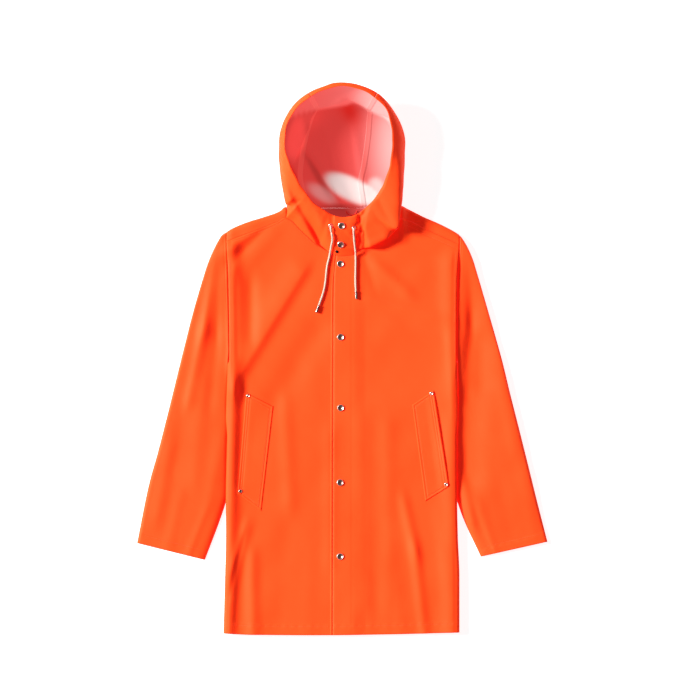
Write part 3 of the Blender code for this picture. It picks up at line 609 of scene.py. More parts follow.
def curve_points(keys, steps):
    """Points on a smooth curve through the keys, with this many steps between two keys."""
    keys = np.array(keys, float)
    ends = np.concatenate(([2 * keys[0] - keys[1]], keys, [2 * keys[-1] - keys[-2]]))
    points = []
    for i in range(len(keys) - 1):
        before, start, end, after = ends[i : i + 4]
        for step in range(steps):
            t = step / steps
            points.append(
                0.5 * (2 * start + (end - before) * t
                + (2 * before - 5 * start + 4 * end - after) * t**2
                + (3 * start - before - 3 * end + after) * t**3)
            )
    points.append(keys[-1])
    return np.array(points)


def stations(start, end, step, fine, reach_start=0.0, reach_end=0.0):
    """Places from start to end, a fine step apart within these reaches of the two ends."""
    length = abs(end - start)
    fine_start = np.arange(0.0, reach_start, fine)
    fine_end = length - np.arange(0.0, reach_end, fine)[::-1]
    first, last = reach_start, length - reach_end
    middle = np.linspace(first, last, max(2, round((last - first) / step) + 1))
    if reach_end > 0:
        middle = middle[:-1]
    places = np.unique(np.round(np.concatenate((fine_start, middle, fine_end)), 4))
    return start + math.copysign(1.0, end - start) * places


def along(points, shares):
    """Points at these shares of a line's length."""
    run = np.concatenate(([0.0], np.cumsum(np.linalg.norm(np.diff(points, axis=0), axis=1))))
    return np.stack([np.interp(shares * run[-1], run, column) for column in points.T], axis=1)


def groove(distance, place, width, depth):
    return -depth * np.exp(-(((distance - place) / width) ** 2))


def hem_relief(distance, place):
    """A hem turned in once: a step at its inner edge, and a stitched groove with small puckers."""
    height, swing = HEM_PUCKER
    pucker = height * np.sin(place / swing) * np.exp(-(((distance - HEM_STITCH) / PUCKER_REACH) ** 2))
    step = 0.7 * (1 - smooth_step(distance, HEM_WIDTH - 1.0, HEM_WIDTH + 1.5))
    return step + groove(distance, HEM_STITCH, 1.1, 0.6) + groove(distance, 0.0, *EDGE_GROOVE) + pucker


# Camera

lens = bpy.data.cameras.new("camera")
lens.sensor_width = 36.0
lens.lens = lens.sensor_width * (CAMERA_PLACE[2] - COAT_HEIGHT * MM) / FRAME_WIDTH
lens.clip_end = 100.0
camera = linked("camera", lens)
camera.location = CAMERA_PLACE
bpy.context.scene.camera = camera


# Materials


def new_material(name, colour, roughness, metallic=0.0, sheen=0.5):
    made = bpy.data.materials.new(name)
    made.use_nodes = True
    shader = made.node_tree.nodes["Principled BSDF"]
    shader.inputs["Base Color"].default_value = (*colour, 1.0)
    shader.inputs["Roughness"].default_value = roughness
    shader.inputs["Metallic"].default_value = metallic
    shader.inputs["Specular IOR Level"].default_value = sheen
    return made


def painted_light_ramps(made, shade, lit, shade_glow, lit_glow):
    """Painted light: the painted_light attribute picks base and emission colour from deep red painted shade
    to pale painted light, and the through attribute sets the emission, a painted red glow.
    """
    tree = made.node_tree
    painted_light = tree.nodes.new("ShaderNodeAttribute")
    painted_light.attribute_name = "painted_light"
    for first, second, socket in ((shade, lit, "Base Color"), (shade_glow, lit_glow, "Emission Color")):
        ramp = tree.nodes.new("ShaderNodeValToRGB")
        ramp.color_ramp.elements[0].color = (*first, 1.0)
        ramp.color_ramp.elements[1].color = (*second, 1.0)
        tree.links.new(painted_light.outputs["Fac"], ramp.inputs["Fac"])
        tree.links.new(ramp.outputs["Color"], tree.nodes["Principled BSDF"].inputs[socket])
    # emission strength: the painted red glow
    through = tree.nodes.new("ShaderNodeAttribute")
    through.attribute_name = "through"
    tree.links.new(through.outputs["Fac"], tree.nodes["Principled BSDF"].inputs["Emission Strength"])


def glow(made, colour, strength):
    """A constant emission: on the cloth and thread it is a painted red glow, painted light that keeps their
    shade red; on the table it is the even light of a light table.
    """
    shader = made.node_tree.nodes["Principled BSDF"]
    shader.inputs["Emission Color"].default_value = (*colour, 1.0)
    shader.inputs["Emission Strength"].default_value = strength


def mottle(made, first, second, scale):
    """The base colour drifts between two colours over the cloth."""
    tree = made.node_tree
    place = tree.nodes.new("ShaderNodeTexCoord")
    noise = tree.nodes.new("ShaderNodeTexNoise")
    noise.inputs["Scale"].default_value = scale
    noise.inputs["Detail"].default_value = 5.0
    ramp = tree.nodes.new("ShaderNodeValToRGB")
    ramp.color_ramp.elements[0].position = 0.38
    ramp.color_ramp.elements[0].color = (*first, 1.0)
    ramp.color_ramp.elements[1].position = 0.62
    ramp.color_ramp.elements[1].color = (*second, 1.0)
    tree.links.new(place.outputs["Object"], noise.inputs["Vector"])
    tree.links.new(noise.outputs["Fac"], ramp.inputs["Fac"])
    tree.links.new(ramp.outputs["Color"], tree.nodes["Principled BSDF"].inputs["Base Color"])


def weave(made, threads, depth, grain, grain_depth):
    """Crossed threads along the cloth's own directions, and a fine grain over them."""
    tree = made.node_tree
    cloth_place = tree.nodes.new("ShaderNodeUVMap")
    cloth_place.uv_map = "cloth"
    heights = []
    for direction in ("X", "Y"):
        wave = tree.nodes.new("ShaderNodeTexWave")
        wave.bands_direction = direction
        wave.inputs["Scale"].default_value = threads
        wave.inputs["Distortion"].default_value = 0.4
        tree.links.new(cloth_place.outputs["UV"], wave.inputs["Vector"])
        heights.append(wave.outputs["Fac"])
    crossed = tree.nodes.new("ShaderNodeMath")
    crossed.operation = "MULTIPLY"
    for height, socket in zip(heights, crossed.inputs):
        tree.links.new(height, socket)
    place = tree.nodes.new("ShaderNodeTexCoord")
    noise = tree.nodes.new("ShaderNodeTexNoise")
    noise.inputs["Scale"].default_value = grain
    noise.inputs["Detail"].default_value = 6.0
    tree.links.new(place.outputs["Object"], noise.inputs["Vector"])
    threads_bump = tree.nodes.new("ShaderNodeBump")
    threads_bump.inputs["Distance"].default_value = depth * MM
    threads_bump.inputs["Strength"].default_value = 0.5
    grain_bump = tree.nodes.new("ShaderNodeBump")
    grain_bump.inputs["Distance"].default_value = grain_depth * MM
    grain_bump.inputs["Strength"].default_value = 0.4
    tree.links.new(crossed.outputs[0], threads_bump.inputs["Height"])
    tree.links.new(noise.outputs["Fac"], grain_bump.inputs["Height"])
    tree.links.new(threads_bump.outputs["Normal"], grain_bump.inputs["Normal"])
    tree.links.new(grain_bump.outputs["Normal"], tree.nodes["Principled BSDF"].inputs["Normal"])


rubber = new_material("orange_rubberised_cotton", (0.95, 0.068, 0.006), 0.66, sheen=0.15)
mottle(rubber, (0.95, 0.065, 0.005), (0.95, 0.072, 0.007), 7.0)
weave(rubber, 0.6, 0.08, 420.0, 0.25)
# painted light: a red emission on the outer cloth, so its shaded folds stay red
glow(rubber, (1.0, 0.012, 0.008), 0.36)
lining = new_material("pink_cotton_lining", (0.6, 0.4, 0.4), 0.85, sheen=0.2)
# painted light on the lining: deep red painted shade to pale painted light, with a painted red glow
painted_light_ramps(lining, (0.22, 0.006, 0.004), (0.36, 0.26, 0.25), (0.56, 0.012, 0.008), (0.58, 0.51, 0.495))
weave(lining, 0.45, 0.12, 300.0, 0.15)
tape_cloth = new_material("seam_tape", (0.6, 0.4, 0.4), 0.6, sheen=0.3)
# the same painted light and painted red glow on the seam tape
painted_light_ramps(tape_cloth, (0.26, 0.020, 0.015), (0.34, 0.22, 0.21), (0.60, 0.034, 0.026), (0.50, 0.40, 0.39))
thread = new_material("stitching_thread", (0.90, 0.10, 0.02), 0.7)
# painted light: a red glow on the thread, as on the cloth
glow(thread, (1.0, 0.02, 0.004), 0.30)
cotton_cord = new_material("braided_cord", (0.64, 0.42, 0.34), 0.85, sheen=0.2)
nickel = new_material("polished_nickel", (0.90, 0.76, 0.71), 0.34, 1.0)
# darker metal for the dish of the snaps and rivets: a painted dark reflection
painted_reflection_nickel = new_material("painted_reflection_nickel", (0.50, 0.28, 0.24), 0.34, 1.0)
gun_nickel = new_material("gun_nickel", (0.26, 0.20, 0.18), 0.4, 1.0)
dark_nickel = new_material("dark_nickel", (0.06, 0.03, 0.025), 0.4, 1.0)


# Cloth


def grid_lengths(grid, axis):
    steps = np.linalg.norm(np.diff(grid, axis=axis), axis=2)
    start = np.zeros_like(np.take(steps, [0], axis=axis))
    return np.concatenate((start, np.cumsum(steps, axis=axis)), axis=axis)


def riding(obj):
    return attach(obj, "root")


def own(obj, slot, *nodes):
    """The piece stands for these solids, whose parts it hides, and rides on the root. The slot is not used.
    """
    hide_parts(*nodes)
    return riding(obj)


def soft_spots(spots, x, y):
    """Painted patches of light and shade on the lining, each along its own direction."""
    total = np.zeros(len(x))
    for middle_x, middle_y, reach, across_reach, angle, sharpness, share in spots:
        turn = math.radians(angle)
        run = ((x - middle_x) * math.cos(turn) + (y - middle_y) * math.sin(turn)) / reach
        across = ((y - middle_y) * math.cos(turn) - (x - middle_x) * math.sin(turn)) / across_reach
        total += share * np.exp(-((run**2 + across**2) ** sharpness))
    return total


def painted_lining_light(x, y):
    """Painted light: shares of painted pale light and of a painted red glow in place of light through the
    cloth; the brim inside the hood is its own patch.
    """
    on_brim = smooth_step(y - reading(PLEAT_LINE, x), -BRIM_BLUR, BRIM_BLUR)
    painted_light = LINING_SHADE + soft_spots(LINING_LIGHT, x, y) + on_brim * reading(BRIM_LIGHT, x)
    through = 1.0 + soft_spots(THROUGH_LIGHT, x, y) * (1 - on_brim) + on_brim * BRIM_THROUGH
    return {"painted_light": np.clip(painted_light, 0.0, 1.0), "through": np.clip(through, 0.0, 3.0)}


def cloth(name, grid, kept=None, ring=False, flip=False, wall=CLOTH, finishes=(rubber, lining)):
    """A thin shell through the grid's points, which are its outer face."""
    grid = np.array(grid, float)
    rows, columns = grid.shape[:2]
    number = np.arange(rows * columns).reshape(rows, columns)
    ahead = np.roll(number, -1, axis=1)
    quads = np.stack((number[:-1], ahead[:-1], ahead[1:], number[1:]), axis=2)
    quads = quads if ring else quads[:, :-1]
    quads = quads.reshape(-1, 4) if kept is None else quads[kept]
    if flip:
        quads = quads[:, ::-1]
    points = grid.reshape(-1, 3)
    used, faces = np.unique(quads, return_inverse=True)
    data = bpy.data.meshes.new(name)
    data.from_pydata((points[used] * MM).tolist(), [], faces.reshape(quads.shape).tolist())
    lengths = np.stack((grid_lengths(grid, 1), grid_lengths(grid, 0)), axis=2).reshape(-1, 2)
    places = data.uv_layers.new(name="cloth")
    places.data.foreach_set("uv", lengths[quads].reshape(-1))
    # every vertex gets the painted light shares that the lining and tape materials read
    for attribute, shares in painted_lining_light(points[used, 0], points[used, 1]).items():
        values = data.attributes.new(attribute, "FLOAT", "POINT")
        values.data.foreach_set("value", shares.astype(np.float32))
    data.shade_smooth()
    for finish in finishes:
        data.materials.append(finish)
    obj = linked(name, data)
    shell = obj.modifiers.new("wall", "SOLIDIFY")
    shell.thickness = wall * MM
    shell.offset = -1.0
    shell.material_offset = len(finishes) - 1
    return obj


def front_relief(side, x, y):
    """Hem, edge, seams and stitched grooves of a front, over its folds."""
    lift = hem_relief(y - reading(HEM_LINE, x), x)
    below_top = front_top(x) - y
    on_shoulder = smooth_step(abs(x), NECK_X - 3, NECK_X + 3)
    lift = lift + groove(below_top, 0.0, *SEAM_GROOVE)
    lift = lift + groove(below_top, SHOULDER_STITCH[side], 1.2, 0.45) * on_shoulder
    lift = lift + groove(below_top, NECK_STITCH, 1.1, 0.3) * (1 - on_shoulder)
    in_from_arm = abs(side_x(y, side) - x)
    lift = lift + groove(in_from_arm, ARM_STITCH, 1.2, 0.35) * smooth_step(y, -10.0, 10.0)
    if side == "left":
        in_from_edge = x - reading(CENTRE_EDGES["left"], y)
        lift = lift + groove(in_from_edge, 0.0, 0.9, 0.8) + groove(in_from_edge, EDGE_STITCH, 1.5, 1.2)
        lift = lift - UNDER_EDGE_DIP * (smooth_step(x, *UNDER_EDGE) - smooth_step(x, *UNDER_EDGE_FADE))
        height, swing = EDGE_PUCKER
        near_stitch = np.exp(-(((in_from_edge - EDGE_STITCH) / PUCKER_REACH) ** 2))
        lift = lift + height * np.sin(y / swing) * near_stitch
    return lift


def front(side):
    """A front: the side roll up from the side seam, then the panel to its centre edge."""
    out = outward(side)
    lower = stations(HEM_Y, UNDERARM_Y, 5.5, 1.2, 27.0)
    upper = stations(UNDERARM_Y, SHOULDER_Y, 4.0, 1.0, 0.0, 16.0)[1:]
    nominal = np.concatenate((lower, upper))[:, None]
    is_lower = nominal <= UNDERARM_Y
    share = np.where(is_lower, 1 - nominal / HEM_Y, nominal / SHOULDER_Y)
    line = side_x(nominal, side)
    edge = reading(CENTRE_EDGES[side], nominal)
    near_arm = smooth_step(nominal, UNDERARM_Y - 2 * UNDERARM_RUN, UNDERARM_Y)

    roll = curve_points(SIDE_ROLL, 3)
    inset, portion = roll[:, 0], np.clip(roll[:, 1], 0.0, 1.0)
    turn_end = len(roll) - 4  # the last place of the side seam's roll, where the armhole's edge begins
    past = np.arange(len(roll)) > turn_end
    beyond = (inset - inset[turn_end]) * (inset[-1] - SEAM) / (inset[-1] - inset[turn_end])
    tight = np.where(past, SEAM + beyond, SEAM)
    squeezed = np.where(portion < 0.5, inset, inset * (1 - near_arm) + tight * near_arm)
    beside_arm = smooth_step(nominal, *OVERLAP_START) * (1 - smooth_step(nominal, *OVERLAP_END))
    squeezed = squeezed - ARM_OVERLAP[side] * beside_arm * ((portion > 0.4) & (portion < 0.9))
    start = line - out * inset[-1]
    width = abs(edge - start).max()
    steps = stations(0.0, width, 1.75, 0.75, 0.0, 9.0)[1:] / width
    x = np.concatenate((line - out * squeezed, start + (edge - start) * steps), axis=1)
    y = np.where(is_lower, reading(HEM_LINE, x) * (1 - share), front_top(x) * share)

    flat_x = out * np.minimum(out * x, out * start)
    crest = coat_height(flat_x, y) + front_relief(side, flat_x, y)
    if side == "left":
        crest = crest + lap_lift(x)
    portions = np.concatenate((portion, np.ones(len(steps))))
    grid = np.stack((x, y, FRONT_FOOT + portions * (crest - FRONT_FOOT)), axis=2)
    kept = np.ones((len(nominal) - 1, x.shape[1] - 1), bool)
    kept[len(lower) - 1 :, :turn_end] = False
    obj = cloth(f"front_{side}_cloth", grid, kept, flip=side == "left")
    return own(obj, "shell_cloth", "front_" + side)


def back():
    """The back lies flat, and at each shoulder it turns over the top to the shoulder seam."""
    neck = NECK_X - NECK_CLEARANCE
    steps = np.linspace(0.0, 1.0, 42)
    middle = np.linspace(-neck, neck, 40)

    def columns(y, tuck):
        right, left = (side_x(y, side) - outward(side) * (SEAM + tuck) for side in ("right", "left"))
        return np.concatenate((right + (-NECK_X - right) * steps, middle, NECK_X + (left - NECK_X) * steps))

    grid = []
    plain = stations(HEM_Y, UNDERARM_Y, 12.0, 3.0)
    plain = np.concatenate((plain, stations(UNDERARM_Y, 220.0, 10.0, 3.0)[1:]))
    for y in plain:
        tuck = (BACK_INSET - SEAM) * (1 - smooth_step(y, UNDERARM_Y - UNDERARM_RUN, UNDERARM_Y))
        x = columns(y, tuck)
        down = np.clip((UNDERARM_Y - y) / (UNDERARM_Y - HEM_Y), 0.0, 1.0)
        grid.append(np.stack((x, y + (reading(HEM_LINE, x) - HEM_Y) * down**4, np.zeros_like(x)), axis=1))
    x = columns(SHOULDER_Y, 0.0)
    on_shoulder = abs(x) >= NECK_X - 0.01
    seam_y = front_top(x) + SEAM
    top = coat_height(x, seam_y) - SEAM_GROOVE[1]
    nape_x = (-neck, -63.0, 46.0, neck)
    nape_y = (NECK_CORNERS["right"], NAPE_Y - SEAM, NAPE_Y - SEAM, NECK_CORNERS["left"])
    nape = np.interp(x, nape_x, nape_y)
    fold_y = reading(SHOULDER_FOLD, x)
    for inset, share in curve_points(SHOULDER_ROLL, 4):
        height = np.clip(share, 0.0, 1.0) * (top - SHOULDER_UNDERCUT)
        y = np.where(on_shoulder, fold_y - inset, nape)
        grid.append(np.stack((x, y, np.where(on_shoulder, height, 0.0)), axis=1))
    last_y = grid[-1][:, 1]
    for step in (0.3, 0.6, 0.8, 0.92, 1.0):
        y = last_y + (seam_y - last_y) * step
        height = (top - SHOULDER_UNDERCUT) + SHOULDER_UNDERCUT * step
        grid.append(np.stack((x, np.where(on_shoulder, y, nape), np.where(on_shoulder, height, 0.0)), axis=1))
    kept = np.ones((len(grid) - 1, len(x) - 1), bool)
    kept[len(plain) :, len(steps) - 1 : -(len(steps) - 1)] = False
    return own(cloth("back_cloth", grid, kept, flip=True), "shell_cloth", "back")


def sleeve(side):
    """A flattened tube, whose rings fan from the armhole to the cuff."""
    shares = stations(0.0, 1.0, 0.0075, 0.002, 0.012, 0.042)
    outer = along(curve_points(SLEEVES[side]["outer"], 12), shares)
    inner = along(curve_points(SLEEVES[side]["inner"], 12), shares)
    length = np.linalg.norm(np.diff(outer, axis=0), axis=1).sum()
    portions = [portion for _, portion in SHOULDER_ROLL] + [1.0] * len(SLEEVE_TOP)
    portions += [portion for _, portion in SLEEVE_INNER_ROLLS[side]] + [0.0] * len(SLEEVE_FLOOR)
    grid = []
    for share, start, end in zip(shares, outer, inner):
        width = np.linalg.norm(end - start)
        reach = SLEEVE_TOP[0] * width
        places = [inset for inset, _ in SHOULDER_ROLL] + [width * part for part in SLEEVE_TOP]
        places += [width - min(inset, reach) for inset, _ in SLEEVE_INNER_ROLLS[side]]
        places += [width * part for part in SLEEVE_FLOOR]
        ring = curve_points(list(zip(places, portions)) + [(places[0], portions[0])], 5)[:-1]
        place, portion = ring[:, 0], np.clip(ring[:, 1], 0.0, 1.03)
        x, y = (start[:, None] + (end - start)[:, None] / width * place)
        armhole = 1 - smooth_step(share, 0.0, ARMHOLE_FADE)
        plain = SLEEVE_HEIGHT + (CUFF_HEIGHT - SLEEVE_HEIGHT) * smooth_step(share, CUFF_FADE, 1.0)
        ready = plain + fold_lift(x, y, SLEEVE_FOLDS) + fold_lift(x, y, SLEEVE_CREASES) + drift(x, y)
        ready = np.maximum(ready, LEAST_SLEEVE)
        top = ready + (coat_height(x, y) - ready) * armhole
        from_cuff = (1 - share) * length
        top = top + hem_relief(from_cuff, place) + groove(share * length, 0.0, 2.2, 0.9)
        top = top + groove(share * length, 6.0, 1.6, 0.35)
        height = np.where(portion < 0.02, 0.0, portion * top)
        grid.append(np.stack((x, y, height), axis=1))
    tucked = grid[0] - (outward(side) * SLEEVE_TUCK, 0.0, 0.0)
    tucked[:, 2] = np.clip(grid[0][:, 2] - SLEEVE_TUCK, 2.0, None)
    grid.insert(0, tucked)
    obj = cloth(f"sleeve_{side}_cloth", grid, ring=True, flip=side == "right")
    return own(obj, "shell_cloth", "sleeve_" + side)


# Hood


def hood_point(azimuth, radius, height):
    angle = np.radians(azimuth)
    return np.stack((radius * np.cos(angle), HOOD_Y + radius * np.sin(angle), height), axis=-1)


def wall_section(azimuth):
    """The hood's outer face from its rim over the widest line and the pleat down to the table."""
    rim_radius, rim_height = (reading(HOOD_RIM, azimuth, column) for column in (1, 2))
    wide, wide_height, pleat, foot = (reading(HOOD_WALL, azimuth, column) for column in (1, 2, 3, 4))
    out, down = SHOULDER_OF_WALL
    steep = 1 - smooth_step(azimuth, *STEEP_SIDE)
    out, down = out + 0.14 * steep, down - 0.14 * steep
    inset, edge_height = PLEAT_EDGE
    edge = wide - inset - pleat
    let_out = max(edge + UNDER_PLEAT[0] * pleat, foot + inset)
    rim_radius = rim_radius + RIM_WAVE[0] * math.sin(math.radians(azimuth) * RIM_WAVE[1])
    keys = (
        (rim_radius, rim_height),
        (rim_radius + out * (wide - rim_radius), rim_height - down * (rim_height - wide_height)),
        (wide, wide_height),
        (wide - inset * 0.67 - TURN_UNDER[0] * pleat, TURN_UNDER[1] * wide_height),
        (edge, edge_height * wide_height),
        (let_out - inset * (pleat < 1.0), UNDER_PLEAT[1] * wide_height),
        (foot, 0.0),
    )
    line = curve_points(keys, SECTION_STEPS)
    return hood_point(azimuth, line[:, 0], line[:, 1])


def apron_section(x, side):
    """The hood's outer face from its rim down to the neckline of the fronts."""
    rim_azimuth = float(reading(RIM_OVER_FOOT, x))
    foot_y = float(reading(NECKLINE, x)) + SEAM
    lift = float(lap_lift(x)) if side == "left" else 0.0
    foot_height = float(coat_height(x, foot_y)) + lift
    foot_azimuth = math.degrees(math.atan2(foot_y - HOOD_Y, x)) % 360.0
    foot_radius = math.hypot(x, foot_y - HOOD_Y)
    rim_radius = float(reading(HOOD_RIM, rim_azimuth, 1))
    rim_radius += RIM_WAVE[0] * math.sin(math.radians(rim_azimuth) * RIM_WAVE[1])
    rim_height = float(reading(HOOD_RIM, rim_azimuth, 2)) + lift
    swell = float(smooth_step(x, *PUFF_ZONE))
    corner = float(smooth_step(x, *CORNER_ZONE))
    keys = []
    for plain_run, corner_run, plain_share, flap_share, corner_share in zip(
        APRON_RUN, CORNER_RUN, APRON_DROP, FLAP_DROP, CORNER_DROP
    ):
        run = plain_run + (corner_run - plain_run) * corner
        drop_share = plain_share + (flap_share - plain_share) * swell
        drop_share += (corner_share - drop_share) * corner
        low = swell * (1 - corner) * float(smooth_step(run, *PUFF_RUN)) * (run < 1.0)
        keys.append((
            rim_azimuth + (foot_azimuth - rim_azimuth) * run,
            rim_radius + (foot_radius - rim_radius) * run + PUFF_REACH * low,
            foot_height + (rim_height - foot_height) * drop_share + PUFF * low,
        ))
    line = curve_points(keys, SECTION_STEPS)
    return hood_point(line[:, 0], line[:, 1], line[:, 2])


def floor_seam(side, share):
    """A point of a seam on the hood's floor, from the foot of the crown (0) to the nape (1)."""
    foot = wall_section(HOOD_SEAM_AZIMUTH[side])[-1]
    table = HOOD_FLOOR_SEAMS[side]
    y = foot[1] + (NAPE_Y - foot[1]) * share
    x = reading(table, y) + (foot[0] - reading(table, foot[1])) * (1 - share) ** 8
    return np.array((x, y, 0.0))


def rim_relief(grid):
    """The hem round the hood's opening, on the outer face: rolled edge, stitched groove and puckers."""
    run = grid_lengths(grid, 1)
    along_rim = grid_lengths(grid, 0)[:, :1]
    height, swing = RIM_PUCKER
    pucker = height * np.sin(along_rim / swing) * np.exp(-(((run - RIM_STITCH) / PUCKER_REACH) ** 2))
    grid[:, :, 2] += groove(run, 0.0, 1.0, 0.7) + groove(run, RIM_STITCH, 1.2, 0.6) + pucker
    return grid


def outer_folds(grid, reach):
    """Folds on the outer face, down to this share of each section."""
    share = np.linspace(0.0, 1.0, grid.shape[1])[None, :]
    weight = 1 - smooth_step(share, *reach)
    grid[:, :, 2] += fold_lift(grid[:, :, 0], grid[:, :, 1], HOOD_FOLDS) * weight
    return grid


def hood_side(side):
    """A side panel: from its seam on the crown round to the centre front."""
    toward = 1.0 if side == "right" else -1.0
    crown = HOOD_SEAM_AZIMUTH[side] + toward * HOOD_SEAM_GAP
    join = HOOD_JOIN_AZIMUTH[side]
    shares = np.linspace(0.0, 1.0, 96)
    walls = np.array([wall_section(crown + (join - crown) * share) for share in shares])
    start, end = NECK_REACH[side]
    places = stations(start, end, 2.4, 1.0)
    apron = np.array([apron_section(x, side) for x in places])
    blend = np.linspace(0.0, 1.0, 9)[1:-1, None, None]
    between = walls[-1] * (1 - blend) + apron[0] * blend
    walls = outer_folds(walls, (0.14, 0.3))
    apron = outer_folds(apron, (0.9, 1.0))
    between = outer_folds(between, (0.5, 0.8))
    outer = rim_relief(np.concatenate((walls, between, apron)))
    feet = outer[:, -1:]
    ends = np.array([floor_seam(side, share) for share in shares])[:, None] - (toward * SEAM / 2, 0.0, 0.0)
    ends[0] = feet[0]
    steps = np.linspace(0.0, 1.0, 13)[1:, None]
    floor = feet[: len(shares)] + (ends - feet[: len(shares)]) * steps
    floor[:, :, 2] += floor_lift(floor[:, :, 0], floor[:, :, 1], steps[:, 0])
    rest = np.repeat(feet[len(shares) :], len(steps), axis=1)
    grid = np.concatenate((outer, np.concatenate((floor, rest))), axis=1)
    kept = np.ones((len(grid) - 1, grid.shape[1] - 1), bool)
    kept[len(shares) - 1 :, outer.shape[1] - 1 :] = False
    obj = cloth(f"hood_{side}_cloth", grid, kept, flip=side == "left")
    return own(obj, "shell_cloth", "hood_" + side)


def floor_lift(x, y, away):
    """Folds of the cloth on the hood's floor, dying out at the wall's foot and at the nape."""
    fade = smooth_step(y, NAPE_Y, NAPE_Y + 14.0) * smooth_step(away, 0.0, 0.2)
    return np.maximum(fold_lift(x, y, HOOD_FLOOR_FOLDS), 0.0) * fade


def hood_centre():
    """The centre panel: from the nape over the floor, up the pleat and on to the top of the rim."""
    ends = {
        side: HOOD_SEAM_AZIMUTH[side] - toward * HOOD_SEAM_GAP
        for side, toward in (("right", 1.0), ("left", -1.0))
    }
    shares = np.linspace(0.0, 1.0, 52)
    turn = ends["left"] - ends["right"]
    walls = rim_relief(np.array([wall_section(ends["right"] + turn * share) for share in shares]))
    feet = walls[:, -1]
    downs = np.linspace(0.0, 1.0, 60)[1:]
    floor = []
    for down in downs:
        first = floor_seam("right", down) + (SEAM / 2, 0.0, 0.0)
        last = floor_seam("left", down) - (SEAM / 2, 0.0, 0.0)
        across = shares[:, None]
        bow = feet - (feet[0] * (1 - across) + feet[-1] * across)
        row = first * (1 - across) + last * across + bow * (1 - down)
        row[:, 2] += floor_lift(row[:, 0], row[:, 1], np.full(len(row), down))
        floor.append(row)
    grid = np.concatenate((walls.transpose(1, 0, 2), np.array(floor)))
    return own(cloth("hood_centre_cloth", grid), "shell_cloth", "hood_centre")


def seam_tape(side):
    """Tape over a seam inside the hood, from its rim down the pleat and over its floor to the nape."""
    azimuth = HOOD_SEAM_AZIMUTH[side]
    offsets = np.linspace(-TAPE_WIDTH / 2, TAPE_WIDTH / 2, 7)
    walls = np.array([wall_section(azimuth + math.degrees(offset / 135.0)) for offset in offsets])
    floor = np.array([
        [floor_seam(side, share) - (offset, 0.0, 0.0) for share in np.linspace(0.0, 0.985, 50)[1:]]
        for offset in offsets
    ])
    grid = np.concatenate((walls[:, 2:], floor), axis=1).transpose(1, 0, 2)
    normal = np.cross(np.gradient(grid, axis=1), np.gradient(grid, axis=0))
    normal /= np.linalg.norm(normal, axis=2)[:, :, None]
    grid = grid + normal * (CLOTH + TAPE_RISE)
    grid[:, :, 2] = np.maximum(grid[:, :, 2], CLOTH + TAPE_RISE)
    on_floor = np.where(np.arange(len(grid)) < walls.shape[1], 0.0, 1.0)[:, None]
    grid[:, :, 2] += floor_lift(grid[:, :, 0], grid[:, :, 1], on_floor)
    return riding(cloth(f"seam_tape_{side}", grid, wall=TAPE_WALL, finishes=(tape_cloth,)))


back_cloth = back()
fronts = {side: front(side) for side in ("right", "left")}
sleeves = {side: sleeve(side) for side in ("right", "left")}
hoods = {side: hood_side(side) for side in ("right", "left")}
hood_middle = hood_centre()
tapes = {side: seam_tape(side) for side in ("right", "left")}


# Places on the cloth


def trees_of(*objects):
    bpy.context.view_layer.update()
    graph = bpy.context.evaluated_depsgraph_get()
    return [BVHTree.FromObject(obj, graph) for obj in objects]


def drop(surface, x, y):
    """Height of the surface at a place of the plan, seen from above."""
    origin = Vector((x * MM, y * MM, 1.0))
    hits = [tree.ray_cast(origin, Vector((0.0, 0.0, -1.0)))[0] for tree in surface]
    return max([hit.z / MM for hit in hits if hit], default=0.0)


def highest(surface, x, y, reach):
    across, along_it = reach
    places = [(x + dx, y + dy) for dx in (-across, 0.0, across) for dy in (-along_it, 0.0, along_it)]
    return max(drop(surface, *place) for place in places)


def seat_on(surface, x, y, radius):
    """Place and tilt of a round trim of this radius, resting on the surface with the seam gap under it."""
    turns = np.arange(SEAT_PROBES) * 2 * math.pi / SEAT_PROBES
    around = radius * np.stack((np.cos(turns), np.sin(turns)), axis=1)
    heights = np.array([drop(surface, x + dx, y + dy) for dx, dy in around])
    slope_x, slope_y = heights @ around * 2 / (SEAT_PROBES * radius**2)
    base = max(*(heights - around @ (slope_x, slope_y)), drop(surface, x, y))
    normal = Vector((-slope_x, -slope_y, 1.0)).normalized()
    point = (Vector((x, y, base)) + normal * SEAM) * MM
    return Matrix.Translation(point) @ normal.to_track_quat("Z", "Y").to_matrix().to_4x4()


panels = trees_of(*fronts.values(), *hoods.values())


# Drawcord


